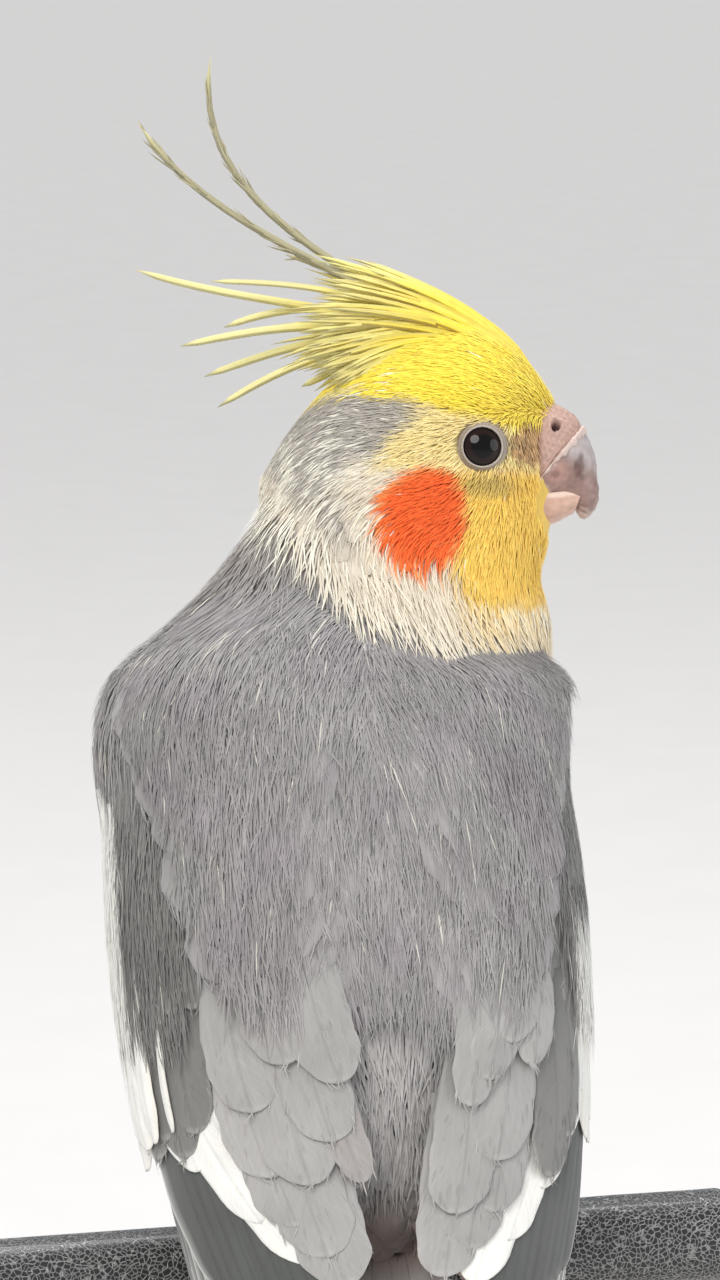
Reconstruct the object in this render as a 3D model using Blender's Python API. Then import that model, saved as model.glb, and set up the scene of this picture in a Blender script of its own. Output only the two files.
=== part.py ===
# A life-size cockatiel that grips a short bar and looks over its right shoulder.
# The bar stands on a plain display stand. Everything is in metres, +Z up.
# The bird's body faces +Y, its right side is +X, and the origin is under the stand's base.
import math

import bmesh
import bpy
import numpy as np
from mathutils import Matrix, Vector

mm = 0.001
GAP = 0.3 * mm  # between pieces that touch

# Stance
BODY_CENTRE = (0.0, 0.0, 198 * mm)
BODY_LEAN = math.radians(68)  # the back above the horizon
HEAD_CENTRE = (13.9 * mm, 18.9 * mm, 264 * mm)
HEAD_TURN = math.radians(-14)  # from straight right, round +Z
HEAD_ROLL = math.radians(-10)  # the right cheek is turned up a little

# Stand and perch
BASE_RADIUS = 64 * mm
BASE_HEIGHT = 12 * mm
BASE_PLACE = (0.0, -12 * mm)
ROD_RADIUS = 4 * mm
PERCH_RADIUS = 7 * mm
PERCH_LENGTH = 120 * mm
PERCH_PLACE = (10 * mm, 146 * mm)  # Y and Z of its axis

# Trunk stations, from the tail's root to the top of the neck, in mm:
# place up the axis, half width, depth to the back, depth to the breast, shift to the right, shift to the back
TRUNK = np.array([
    (-43, 9.5, 6.0, 7.0, 0.0, 0.0),
    (-36, 15.0, 10.5, 14.0, 0.0, 0.0),
    (-26, 22.0, 16.0, 22.0, 0.0, 0.0),
    (-12, 27.5, 21.5, 29.0, 0.0, 0.0),
    (4, 30.3, 24.5, 33.0, -0.5, 0.0),
    (18, 31.0, 24.5, 33.5, -0.9, 0.0),
    (29, 32.0, 22.5, 32.0, -0.6, 0.0),
    (37, 31.2, 20.0, 29.5, 0.6, 0.2),
    (44, 28.2, 18.2, 26.5, 4.4, 0.9),
    (51, 23.8, 17.0, 23.0, 7.0, 1.9),
    (59, 18.6, 15.5, 19.0, 8.4, 3.2),
    (70, 13.5, 12.5, 14.0, 9.8, 5.5),
]) * mm

# The hull that the folded wings lie on: the trunk's flanks, then the free wing tips
WING_HULL = np.array([
    (-140, 10.0, 13.0, 8.0, 0.0, 0.0),
    (-120, 12.5, 13.5, 9.0, 0.0, 0.0),
    (-95, 16.5, 14.0, 12.0, 0.0, 0.0),
    (-70, 21.5, 14.8, 15.0, 0.0, 0.0),
    (-48, 26.5, 16.5, 19.0, 0.0, 0.0),
    (-26, 30.0, 19.4, 24.0, 0.0, 0.0),
    (-12, 30.9, 22.2, 29.0, 0.0, 0.0),
    (4, 31.3, 24.7, 33.0, 0.0, 0.0),
    (18, 31.4, 24.7, 33.5, 0.0, 0.0),
    (29, 33.2, 22.7, 32.0, 0.0, 0.0),
    (37, 33.2, 20.2, 29.5, 0.0, 0.2),
    (44, 31.0, 18.4, 26.5, 0.0, 0.9),
]) * mm
WING_SHIFT = -0.6 * mm  # of both wings with the shoulders, to the left

# Head stations, from the nape to the face, in mm: place along the bill's direction, top, bottom, half width
HEAD = np.array([
    (-21.6, -3.5, -8.5, 3.0),
    (-19.0, 1.0, -13.5, 7.5),
    (-14.0, 7.5, -17.5, 11.0),
    (-7.0, 13.5, -21.5, 13.0),
    (1.0, 17.2, -24.0, 14.0),
    (8.0, 17.6, -24.5, 13.4),
    (13.5, 15.2, -23.0, 10.8),
    (17.3, 11.6, -18.0, 7.0),
    (19.6, 8.4, -11.5, 4.2),
    (20.9, 6.6, -2.0, 1.6),
]) * mm

# Upper bill stations in mm and degrees, in the head's frame:
# place forward, place up, direction, half depth, half width
BILL = [
    (15.5, 0.2, 2, 6.4, 5.2),
    (18.2, 0.1, -2, 6.6, 5.2),
    (20.4, -0.9, -16, 6.3, 4.8),
    (21.9, -3.0, -38, 5.4, 4.2),
    (23.0, -5.3, -66, 3.6, 3.2),
    (24.3, -7.2, -84, 1.9, 2.1),
    (24.0, -9.3, -104, 1.2, 1.3),
    (23.3, -11.2, -112, 0.4, 0.4),
]
LOWER_BILL = [
    (14.5, -9.1, 0, 2.9, 4.3),
    (18.0, -9.3, 2, 2.7, 4.0),
    (20.4, -8.9, 14, 2.2, 3.1),
    (22.2, -8.1, 36, 1.1, 1.7),
]
CERE_EDGE = ((23.8, 2.9), (17.2, -4.6))  # two points of the line between cere and horn
CERE_SWELL = 0.35  # by which the cere stands proud of the horn
NOSTRIL = (20.1, 4.7, 3.1, 1.0)  # forward, sideways, up, radius
EYE = (8.9, 10.3, 0.2, 4.0)  # forward, sideways, up, radius
LID = (3.45, 0.75)  # ring radius, roll radius

TAIL_LENGTH = 150 * mm

COLOURS = {
    "grey_plumage": (0.30, 0.29, 0.30),
    "white_edge": (0.85, 0.84, 0.80),
    "face_yellow": (0.86, 0.68, 0.16),
    "crest_yellow": (0.88, 0.76, 0.22),
    "horn": (0.40, 0.33, 0.32),
    "cere": (0.62, 0.48, 0.45),
    "eye": (0.02, 0.015, 0.012),
    "foot": (0.42, 0.36, 0.35),
    "claw": (0.10, 0.09, 0.09),
    "bar_paint": (0.12, 0.13, 0.13),
    "stand_wood": (0.20, 0.13, 0.08),
    "steel": (0.45, 0.45, 0.46),
}
METALLIC = {"steel": 1.0, "bar_paint": 0.4}
ROUGHNESS = {"eye": 0.05, "steel": 0.3, "bar_paint": 0.4, "horn": 0.35}


def clear_scene():
    for old in list(bpy.data.objects):
        bpy.data.objects.remove(old)


def material(name):
    made = bpy.data.materials.get(name) or bpy.data.materials.new(name)
    made.use_nodes = True
    shader = made.node_tree.nodes["Principled BSDF"]
    shader.inputs["Base Color"].default_value = (*COLOURS[name], 1)
    shader.inputs["Roughness"].default_value = ROUGHNESS.get(name, 0.7)
    shader.inputs["Metallic"].default_value = METALLIC.get(name, 0.0)
    return made


def empty(name, place, turn):
    made = bpy.data.objects.new(name, None)
    made.location = place
    made.rotation_euler = turn
    bpy.context.scene.collection.objects.link(made)
    return made


def solid(name, points, faces, finish, parent=None):
    mesh = bpy.data.meshes.new(name)
    mesh.from_pydata([tuple(map(float, p)) for p in points], [], faces)
    mesh.validate()
    mesh.materials.append(material(finish))
    made = bpy.data.objects.new(name, mesh)
    made.parent = parent
    bpy.context.scene.collection.objects.link(made)
    return made


def applied(obj):
    """The object with its modifiers applied."""
    bpy.context.view_layer.update()
    graph = bpy.context.evaluated_depsgraph_get()
    mesh = bpy.data.meshes.new_from_object(obj.evaluated_get(graph))
    obj.modifiers.clear()
    obj.data = mesh
    return obj


def largest_surface(obj):
    """Only the object's largest closed surface."""
    work = bmesh.new()
    work.from_mesh(obj.data)
    bmesh.ops.triangulate(work, faces=work.faces)
    left = set(work.verts)
    groups = []
    while left:
        todo = [left.pop()]
        group = set(todo)
        while todo:
            for edge in todo.pop().link_edges:
                for vert in edge.verts:
                    if vert in left:
                        left.discard(vert)
                        group.add(vert)
                        todo.append(vert)
        groups.append(group)

    def volume(group):
        faces = {face for vert in group for face in vert.link_faces}
        return abs(sum(f.verts[0].co.dot(f.verts[1].co.cross(f.verts[2].co)) for f in faces))

    groups.sort(key=volume)
    loose = [vert for group in groups[:-1] for vert in group]
    bmesh.ops.delete(work, geom=loose, context="VERTS")
    work.to_mesh(obj.data)
    work.free()
    return obj


def boolean(obj, others, operation, solver="EXACT"):
    """Joins the others to the object, or cuts them out of it, and removes them."""
    group = bpy.data.collections.new("group")
    for other in others:
        group.objects.link(other)
    step = obj.modifiers.new("join", "BOOLEAN")
    step.operation = operation
    step.solver = solver
    step.operand_type = "COLLECTION"
    step.collection = group
    applied(obj)
    for other in others:
        bpy.data.objects.remove(other)
    bpy.data.collections.remove(group)
    return largest_surface(obj)


def smooth(obj, angle=40):
    obj.data.shade_smooth()
    obj.data.set_sharp_from_angle(angle=math.radians(angle))
    return obj


def between(table, at):
    """The table's columns at a place, on smooth curves through its stations."""
    at = np.clip(np.asarray(at, float), table[0, 0], table[-1, 0])
    places = table[:, 0]
    i = np.clip(np.searchsorted(places, at) - 1, 0, len(places) - 2)
    slope = np.gradient(table[:, 1:], places, axis=0)
    step = (places[i + 1] - places[i])[..., None]
    t = ((at - places[i]) / (places[i + 1] - places[i]))[..., None]
    start, end = table[i, 1:], table[i + 1, 1:]
    return (
        (2 * t**3 - 3 * t**2 + 1) * start
        + (t**3 - 2 * t**2 + t) * step * slope[i]
        + (3 * t**2 - 2 * t**3) * end
        + (t**3 - t**2) * step * slope[i + 1]
    )


def hull_point(table, s, a):
    """The point of a hull at place s up the axis and angle a from the back, in the body's frame."""
    half, back, front, right, shift = np.moveaxis(between(table, s), -1, 0)
    depth = np.where(np.cos(a) > 0, back, front)
    return np.stack([right + half * np.sin(a), -shift - depth * np.cos(a), s + 0 * a], axis=-1)


def hull_frame(table, s, a):
    """The point there, its outward normal, and the two tangents."""
    e, f = 0.2 * mm, 0.01
    point = hull_point(table, s, a)
    along = (hull_point(table, s + e, a) - hull_point(table, s - e, a)) / (2 * e)
    across = (hull_point(table, s, a + f) - hull_point(table, s, a - f)) / (2 * f)
    normal = np.cross(across, along)
    normal /= np.linalg.norm(normal, axis=-1, keepdims=True)
    return point, normal, along, across


def lifted(table, s, a, h):
    point, normal, _, _ = hull_frame(table, s, a)
    return point + normal * np.asarray(h)[..., None]


def grid_solid(name, rings, finish, parent=None):
    """A closed solid from rings of points, each end closed by a fan."""
    rings = [np.asarray(ring) for ring in rings]
    count, around = len(rings), len(rings[0])
    points = np.concatenate(rings)
    faces = []
    for i in range(count - 1):
        for j in range(around):
            k = (j + 1) % around
            faces.append((i * around + j, i * around + k, (i + 1) * around + k, (i + 1) * around + j))
    points = np.vstack([points, rings[0].mean(axis=0), rings[-1].mean(axis=0)])
    first, last = len(points) - 2, len(points) - 1
    for j in range(around):
        k = (j + 1) % around
        faces.append((first, k, j))
        faces.append((last, (count - 1) * around + j, (count - 1) * around + k))
    made = solid(name, points, faces, finish, parent)
    return outward(made)


def outward(obj):
    work = bmesh.new()
    work.from_mesh(obj.data)
    bmesh.ops.recalc_face_normals(work, faces=work.faces)
    work.to_mesh(obj.data)
    work.free()
    return obj


def trunk_solid(name, low, high, steps, parent, around=24, grow=0.0):
    """The part of the trunk between two places of its axis, or a little larger all round."""
    angles = np.linspace(0, 2 * math.pi, around, endpoint=False)
    places = np.linspace(low, high, steps)
    rings = [lifted(TRUNK, np.full(around, s), angles, np.full(around, grow)) for s in places]
    for ring, s in zip((rings[0], rings[-1]), (low, high)):
        ring[:, 2] = s
    return grid_solid(name, rings, "grey_plumage", parent)


def head_solid(name, parent, grow=0.0, around=24, steps=12):
    """The head, lofted from nape to face, or a little larger all round."""
    first, last = HEAD[0, 0], HEAD[-1, 0]
    bend = np.linspace(0, math.pi, steps)
    places = (first + last) / 2 - (last - first) / 2 * np.cos(bend)
    angles = np.linspace(0, 2 * math.pi, around, endpoint=False)
    rings = []
    for x in places:
        top, bottom, half = between(HEAD, x)
        centre, high = (top + bottom) / 2, (top - bottom) / 2 + grow
        rings.append([
            (x, (half + grow) * math.sin(a), centre + high * math.cos(a)) for a in angles
        ])
    made = grid_solid(name, rings, "face_yellow", parent)
    return made


def bent_loft(name, stations, parent, finish, grow=0.0, around=16):
    """A bill form: oval rings along a path in the head's middle plane."""
    rings = []
    for x, z, turn, deep, wide in stations:
        turn = math.radians(turn)
        up = np.array([-math.sin(turn), 0, math.cos(turn)])
        ring = []
        for a in np.linspace(0, 2 * math.pi, around, endpoint=False):
            offset = up * (deep * mm + grow) * math.cos(a)
            side = np.array([0, (wide * mm + grow) * math.sin(a), 0])
            ring.append(np.array([x * mm, 0, z * mm]) + offset + side)
        rings.append(ring)
    return grid_solid(name, rings, finish, parent)


def box_solid(name, frame, low, high, parent):
    """A box between two corners, placed by a matrix."""
    corners = [(x, y, z) for x in (low[0], high[0]) for y in (low[1], high[1]) for z in (low[2], high[2])]
    points = [frame @ Vector(c) for c in corners]
    faces = [(0, 1, 3, 2), (4, 6, 7, 5), (0, 4, 5, 1), (2, 3, 7, 6), (0, 2, 6, 4), (1, 5, 7, 3)]
    return outward(solid(name, points, faces, "horn", parent))


def ball(name, centre, radius, parent, finish, segments=14, rings=9):
    mesh = bpy.data.meshes.new(name)
    work = bmesh.new()
    bmesh.ops.create_uvsphere(work, u_segments=segments, v_segments=rings, radius=radius)
    bmesh.ops.translate(work, verts=work.verts, vec=centre)
    work.to_mesh(mesh)
    work.free()
    mesh.materials.append(material(finish))
    made = bpy.data.objects.new(name, mesh)
    made.parent = parent
    bpy.context.scene.collection.objects.link(made)
    return made


def ring_solid(name, centre, normal, radius, roll, parent, finish, around=18, sides=6):
    """A closed torus, such as an eyelid's rim."""
    frame = Vector(normal).to_track_quat("Z", "Y").to_matrix()
    points, faces = [], []
    for i in range(around):
        a = 2 * math.pi * i / around
        for j in range(sides):
            b = 2 * math.pi * j / sides
            reach = radius + roll * math.cos(b)
            local = Vector((reach * math.cos(a), reach * math.sin(a), roll * math.sin(b)))
            points.append(Vector(centre) + frame @ local)
            right, up = ((i + 1) % around) * sides, (j + 1) % sides
            faces.append((i * sides + j, right + j, right + up, i * sides + up))
    return outward(solid(name, points, faces, finish, parent))


def plate(name, upper, lower, parent, finish):
    """A vane: two skins of three points a station, split into triangles alike."""
    upper, lower = np.asarray(upper), np.asarray(lower)
    count = len(upper)
    points = np.concatenate([upper.reshape(-1, 3), lower.reshape(-1, 3)])
    low = 3 * count
    faces = []
    for i in range(count - 1):
        for j in range(2):
            a, b, c, d = 3 * i + j, 3 * i + j + 1, 3 * i + j + 4, 3 * i + j + 3
            faces += [(a, b, c), (a, c, d)]
            faces += [(low + a, low + c, low + b), (low + a, low + d, low + c)]
        for j, turn in ((0, 1), (2, -1)):
            a, b = 3 * i + j, 3 * i + j + 3
            side = [(a, b, low + b), (a, low + b, low + a)]
            faces += [face[::turn] for face in side]
    for i, turn in ((0, -1), (count - 1, 1)):
        for j in range(2):
            a, b = 3 * i + j, 3 * i + j + 1
            end = [(a, b, low + b), (a, low + b, low + a)]
            faces += [face[::turn] for face in end]
    return outward(solid(name, points, faces, finish, parent))


# Vane outlines: part of the length, part of the half width
ROUND_TIP = ((0, 0.6), (0.6, 1.0), (0.88, 0.8), (1.0, 0.28))
LONG_TIP = ((0, 0.55), (0.5, 1.0), (0.9, 0.65), (1.0, 0.15))
TAIL_TIP = ((0, 0.5), (0.4, 0.95), (0.75, 0.9), (0.95, 0.45), (1.0, 0.12))


def hull_vane(side, root, tip, half, lift, outline, parent, tilt=0.0, bow=0.0, thick=0.6 * mm,
              table=WING_HULL, shift=WING_SHIFT, sunk=0.0):
    """A feather that lies on a hull. Its root and tip are (place, angle), its lift goes from root to tip.

    side is 1 for the right wing and -1 for the left. A positive tilt raises the edge away from the back."""
    upper, lower = [], []
    s0, a0 = root
    s1, a1 = tip
    for t, width in outline:
        s = s0 + (s1 - s0) * t
        a = math.radians(a0 + (a1 - a0) * t + bow * math.sin(math.pi * t))
        point, normal, along, across = hull_frame(table, np.array(s), np.array(a))
        run = (s1 - s0) * along + math.radians(a1 - a0) * across
        run /= np.linalg.norm(run)
        out = np.cross(run, normal)
        out *= math.copysign(1, out @ across)
        h = lift[0] + (lift[1] - lift[0]) * t
        row = []
        for reach in (-half * width, 0, half * width):
            ds = (out @ along) / (along @ along) * reach
            da = (out @ across) / (across @ across) * reach
            row.append((s + ds, a + da, h + tilt * reach))
        upper.append([lifted(table, np.array(p), np.array(q), np.array(r)) for p, q, r in row])
        depth = thick if t < 0.95 else 0.6 * thick
        drop = depth + sunk * (1 - t)
        lower.append([lifted(table, np.array(p), np.array(q), np.array(r - drop)) for p, q, r in row])
    upper, lower = np.array(upper), np.array(lower)
    for skin in (upper, lower):
        skin[..., 0] = side * skin[..., 0] + shift
    return plate("vane", upper, lower, parent, "grey_plumage")


def wing_core(side, parent):
    """The wing's own arm and hand under its coverts: a thick curved patch with thin rims."""
    rows, columns = 9, 6
    outer, inner = [], []
    for p in np.linspace(0, 1, rows):
        s = (32 - 53 * p) * mm
        low_angle = 15 + 18 * (1 - p) ** 2 + 8 * p**3
        high_angle = 106 - 26 * (1 - p) ** 4 + 2 * p
        edge_p = 1 - abs(2 * p - 1) ** 4
        for q in np.linspace(0, 1, columns):
            a = math.radians(low_angle + (high_angle - low_angle) * q)
            edge_q = 1 - abs(2 * q - 1) ** 4
            h = (0.95 + 2.6 * edge_p * edge_q) * mm
            outer.append(lifted(WING_HULL, np.array(s), np.array(a), np.array(h)))
            inner.append(lifted(WING_HULL, np.array(s), np.array(a), np.array(0.45 * mm)))
    points = np.array(outer + inner)
    points[:, 0] = side * points[:, 0] + WING_SHIFT
    base = rows * columns
    faces = []
    for i in range(rows - 1):
        for j in range(columns - 1):
            a, b = i * columns + j, i * columns + j + 1
            c, d = b + columns, a + columns
            faces += [(a, b, c), (a, c, d), (base + a, base + c, base + b), (base + a, base + d, base + c)]
    rim = [j for j in range(columns)]
    rim += [i * columns + columns - 1 for i in range(1, rows)]
    rim += [(rows - 1) * columns + j for j in range(columns - 2, -1, -1)]
    rim += [i * columns for i in range(rows - 2, 0, -1)]
    for a, b in zip(rim, rim[1:] + rim[:1]):
        faces += [(a, b, base + b), (a, base + b, base + a)]
    name = "wing_right" if side > 0 else "wing_left"
    return outward(solid(name, points, faces, "grey_plumage", parent))


# Tiers of a folded wing. Each gives its count, the roots and the tips of its innermost and outermost vanes
# as (mm up the axis, degrees from the back), the half width, the lift at root and tip, and the tilt.
SECONDARIES = (5, ((-6, 42), (-4, 76)), ((-56, 23), (-57, 56)), 5.8, (2.3, 2.6), 0.15)
TERTIALS = (3, ((4, 28), (-4, 42)), ((-36, 21), (-51, 22)), 6.2, (2.8, 4.4), 0.12)
GREATER_COVERTS = (5, ((0, 50), (4, 99)), ((-27, 46), (-25, 97)), 5.0, (2.2, 4.2), 0.1)
MEDIAN_COVERTS = (4, ((13, 51), (15, 98)), ((-9, 48), (-7, 97)), 6.6, (2.4, 4.6), 0.08)
LESSER_COVERTS = (3, ((24, 54), (26, 88)), ((5, 53), (8, 94)), 7.6, (2.4, 4.8), 0.08)
LOWER_SCAPULARS = (3, ((12, 20), (12, 44)), ((-24, 19), (-12, 44)), 6.6, (2.2, 5.2), 0.1)
UPPER_SCAPULARS = (3, ((29, 26), (29, 46)), ((2, 17), (4, 44)), 7.0, (2.0, 5.4), 0.1)
COVERT_TIERS = (GREATER_COVERTS, MEDIAN_COVERTS, LESSER_COVERTS, LOWER_SCAPULARS, UPPER_SCAPULARS)
PRIMARY_COUNT = 6
LONGEST_PRIMARY = -131 * mm  # the place of its tip


def wing(side, parent):
    """One folded wing: primaries, secondaries and tertials under the tiers of coverts and the scapulars."""
    core = wing_core(side, parent)
    vanes = []
    for i in range(PRIMARY_COUNT):
        root = ((-8 - 1.7 * i) * mm, 64 + 6.0 * i)
        behind = PRIMARY_COUNT - 1 - i
        tip = (LONGEST_PRIMARY + (9.5 * behind - (4 if behind else 0)) * mm, 40 - 0.5 * i)
        vanes.append(hull_vane(side, root, tip, 5.0 * mm, (1.5 * mm, (2.6 - 0.5 * i) * mm), LONG_TIP, parent,
                               tilt=0.18))
    for tier, outline in ((SECONDARIES, LONG_TIP), (TERTIALS, ROUND_TIP), *((t, ROUND_TIP) for t in COVERT_TIERS)):
        count, roots, tips, half, lift, tilt = tier
        for i in range(count):
            t = i / (count - 1)
            root = [first + (last - first) * t for first, last in zip(*roots)]
            tip = [first + (last - first) * t for first, last in zip(*tips)]
            vanes.append(hull_vane(
                side, (root[0] * mm, root[1]), (tip[0] * mm, tip[1]), half * mm,
                (lift[0] * mm, lift[1] * mm), outline, parent, tilt=tilt, bow=2))
    return smooth(boolean(core, vanes, "UNION"))


def torso(split, parent):
    """The trunk from the tail's root to the neck, with the mantle's last feathers on the back."""
    core = trunk_solid("torso", TRUNK[0, 0], split, 13, parent)
    vanes = []
    for tip, count, half in ((-13, 3, 3.4), (1, 2, 4.0), (13, 2, 4.4)):
        for i in range(count):
            a = (i - (count - 1) / 2) * 7.0
            vanes.append(hull_vane(1, ((tip + 17) * mm, a), ((tip - i % 2) * mm, a), half * mm,
                                   (0.2 * mm, 1.5 * mm), ROUND_TIP, parent, table=TRUNK, shift=0.0, sunk=0.8 * mm,
                                   thick=1.2 * mm))
    return smooth(boolean(core, vanes, "UNION"))


def tail(parent):
    """The tail's root with its twelve graduated feathers, and the coverts above and below."""
    root_end = -61 * mm
    rings = []
    for t in np.linspace(0, 1, 6):
        s = -43 * mm - GAP + (root_end + 43 * mm + GAP) * t
        size = math.sqrt(max(1 - (0.92 * t) ** 2, 0.05))
        angles = np.linspace(0, 2 * math.pi, 16, endpoint=False)
        rings.append([(9.0 * mm * size * math.sin(a), 0.3 * mm - 5.8 * mm * size * math.cos(a), s) for a in angles])
    core = grid_solid("tail", rings, "grey_plumage", parent)
    vanes = []

    def straight_vane(x, x_tip, y, y_tip, start, length, inner, outer, roll, outline):
        upper, lower = [], []
        for t, width in outline:
            centre = np.array([x + (x_tip - x) * t, y + (y_tip - y) * t, start - length * t])
            row = [centre + np.array([reach * width, abs(reach * width) * roll, 0])
                   for reach in (-inner, 0, outer)]
            thick = np.array([0, 0.6 * mm if t < 0.95 else 0.4 * mm, 0])
            upper.append(row)
            lower.append([p + thick for p in row])
        vanes.append(plate("vane", upper, lower, parent, "grey_plumage"))

    for k in range(6):
        length = TAIL_LENGTH * (1 - 0.085 * k)
        level = 0.9 * k * mm
        for side in (1, -1):
            x = side * (1.2 + 1.0 * k) * mm
            x_tip = side * (1.4 + 1.5 * k) * mm
            y = -2.4 * mm + level - (0.9 * mm if side > 0 and k == 0 else 0)
            inner = 6.0 * mm if k == 0 else (1.0 + 1.0 * k) * mm
            outer = 5.8 * mm
            left, right = (inner, outer) if side > 0 else (outer, inner)
            straight_vane(x, x_tip, y, y - 5.0 * mm, -46 * mm, length, left, right, 0.12, TAIL_TIP)
    for i in range(3):
        off = i - 1
        x = off * 5.2 * mm
        straight_vane(x, 1.2 * x, -3.4 * mm, (-6.6 - 0.5 * (i % 2)) * mm, -46 * mm, (34 - 3 * abs(off)) * mm,
                      4.4 * mm, 4.4 * mm, 0.1, ROUND_TIP)
        straight_vane(x, 1.2 * x, 3.6 * mm, (1.4 + 0.5 * (i % 2)) * mm, -46 * mm, (52 - 5 * abs(off)) * mm,
                      4.4 * mm, 4.4 * mm, -0.1, ROUND_TIP)
    return smooth(boolean(core, vanes, "UNION"))


# Crest feathers as curves in the head's middle plane: root, two guides and tip as (forward, up), then the
# sideways place of root and tip and the half width, in mm
CREST = [
    ((8.0, 15.0), (-12, 28.0), (-33, 36.0), (-29.3, 55.4), 0.6, 1.0, 0.90),
    ((5.0, 15.5), (-8, 26.0), (-31, 32.0), (-40.0, 47.3), -0.8, -1.5, 0.85),
    ((6.0, 15.0), (-8, 21.5), (-25, 21.0), (-40.7, 26.4), 1.4, 4.0, 1.00),
    ((7.0, 15.0), (-2, 22.5), (-11, 26.0), (-18.8, 28.4), 0.2, 2.0, 0.90),
    ((4.0, 15.5), (-6, 23.5), (-18, 24.0), (-29.6, 24.2), -2.0, -2.6, 0.95),
    ((3.0, 15.5), (-7, 22.5), (-19, 21.5), (-27.8, 18.0), 2.4, 5.0, 0.95),
    ((3.0, 15.0), (-8, 19.5), (-21, 18.0), (-34.0, 14.9), -0.4, -1.0, 1.05),
    ((1.0, 15.0), (-9, 18.5), (-19, 15.0), (-30.6, 10.8), 1.6, 3.6, 1.05),
    ((0.0, 14.5), (-8, 16.5), (-18, 13.0), (-28.6, 6.2), 0.0, 1.2, 1.05),
    ((-1.0, 14.0), (-6, 14.5), (-11, 12.0), (-16.5, 9.4), 2.8, 4.6, 1.05),
    ((15.5, 12.0), (12, 18.3), (4, 22.8), (-7.0, 25.6), 0.3, 0.3, 1.60),
    ((13.5, 13.5), (10, 18.6), (2, 21.8), (-10.0, 23.6), -1.9, -2.4, 1.60),
    ((13.0, 13.5), (9, 18.6), (1, 21.4), (-10.5, 22.4), 2.3, 3.0, 1.60),
    ((10.0, 13.5), (6, 18.4), (-3, 20.6), (-14.0, 19.6), -3.4, -3.8, 1.60),
    ((9.0, 13.5), (5, 18.0), (-4, 19.6), (-14.5, 17.6), 3.7, 4.6, 1.60),
    ((5.0, 14.5), (0, 18.2), (-8, 17.6), (-15.5, 13.6), -2.6, -3.6, 1.50),
]


def crest(parent):
    """The crest feather by feather, rooted in a low strip along the crown."""
    angles = np.linspace(0, 2 * math.pi, 10, endpoint=False)
    rings = []
    for t in np.linspace(0, 1, 7):
        x = (14.5 - 20 * t) * mm
        top = between(HEAD, x)[0]
        size = math.sqrt(1 - (2 * t - 1) ** 2 * 0.94)
        rings.append([
            (x, 3.8 * mm * size * math.sin(a), top + (0.4 + 2.6 * size * math.cos(a)) * mm) for a in angles
        ])
    core = grid_solid("crest", rings, "crest_yellow", parent)
    vanes = []
    for root, first, second, tip, y_root, y_tip, half in CREST:
        guides = [np.array([x, 0, z]) for x, z in (root, first, second, tip)]
        guides[0][1] = guides[1][1] = y_root
        guides[2][1], guides[3][1] = y_tip * 0.8, y_tip
        steps = 8 if np.linalg.norm(guides[3] - guides[0]) > 36 else 5
        upper, lower = [], []
        for t in np.linspace(0, 1, steps):
            weights = ((1 - t) ** 3, 3 * t * (1 - t) ** 2, 3 * t**2 * (1 - t), t**3)
            place = sum(w * g for w, g in zip(weights, guides))
            slopes = (-((1 - t) ** 2), (1 - t) * (1 - 3 * t), t * (2 - 3 * t), t**2)
            run = sum(w * g for w, g in zip(slopes, guides))
            run /= np.linalg.norm(run)
            up = np.array([-run[2], 0, run[0]])
            up *= math.copysign(1 / np.linalg.norm(up), up[2] if abs(up[2]) > 0.3 else up[0])
            width = half * (1.15 - 0.6 * t) if 0 < t < 1 else (half * 0.9 if t == 0 else 0.35)
            row = [place + np.array([0, reach, 0]) - up * 0.3 * abs(reach) for reach in (-width, 0, width)]
            deep = 0.75 if t < 1 else 0.4
            upper.append([p * mm for p in row])
            lower.append([(p - up * deep) * mm for p in row])
        vanes.append(plate("vane", upper, lower, parent, "crest_yellow"))
    return smooth(boolean(core, vanes, "UNION"))


def eye(side, parent):
    x, y, z, radius = (v * mm for v in EYE)
    made = ball("eye_right" if side > 0 else "eye_left", (x, -side * y, z), radius, parent, "eye")
    return smooth(made, 80)


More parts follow.
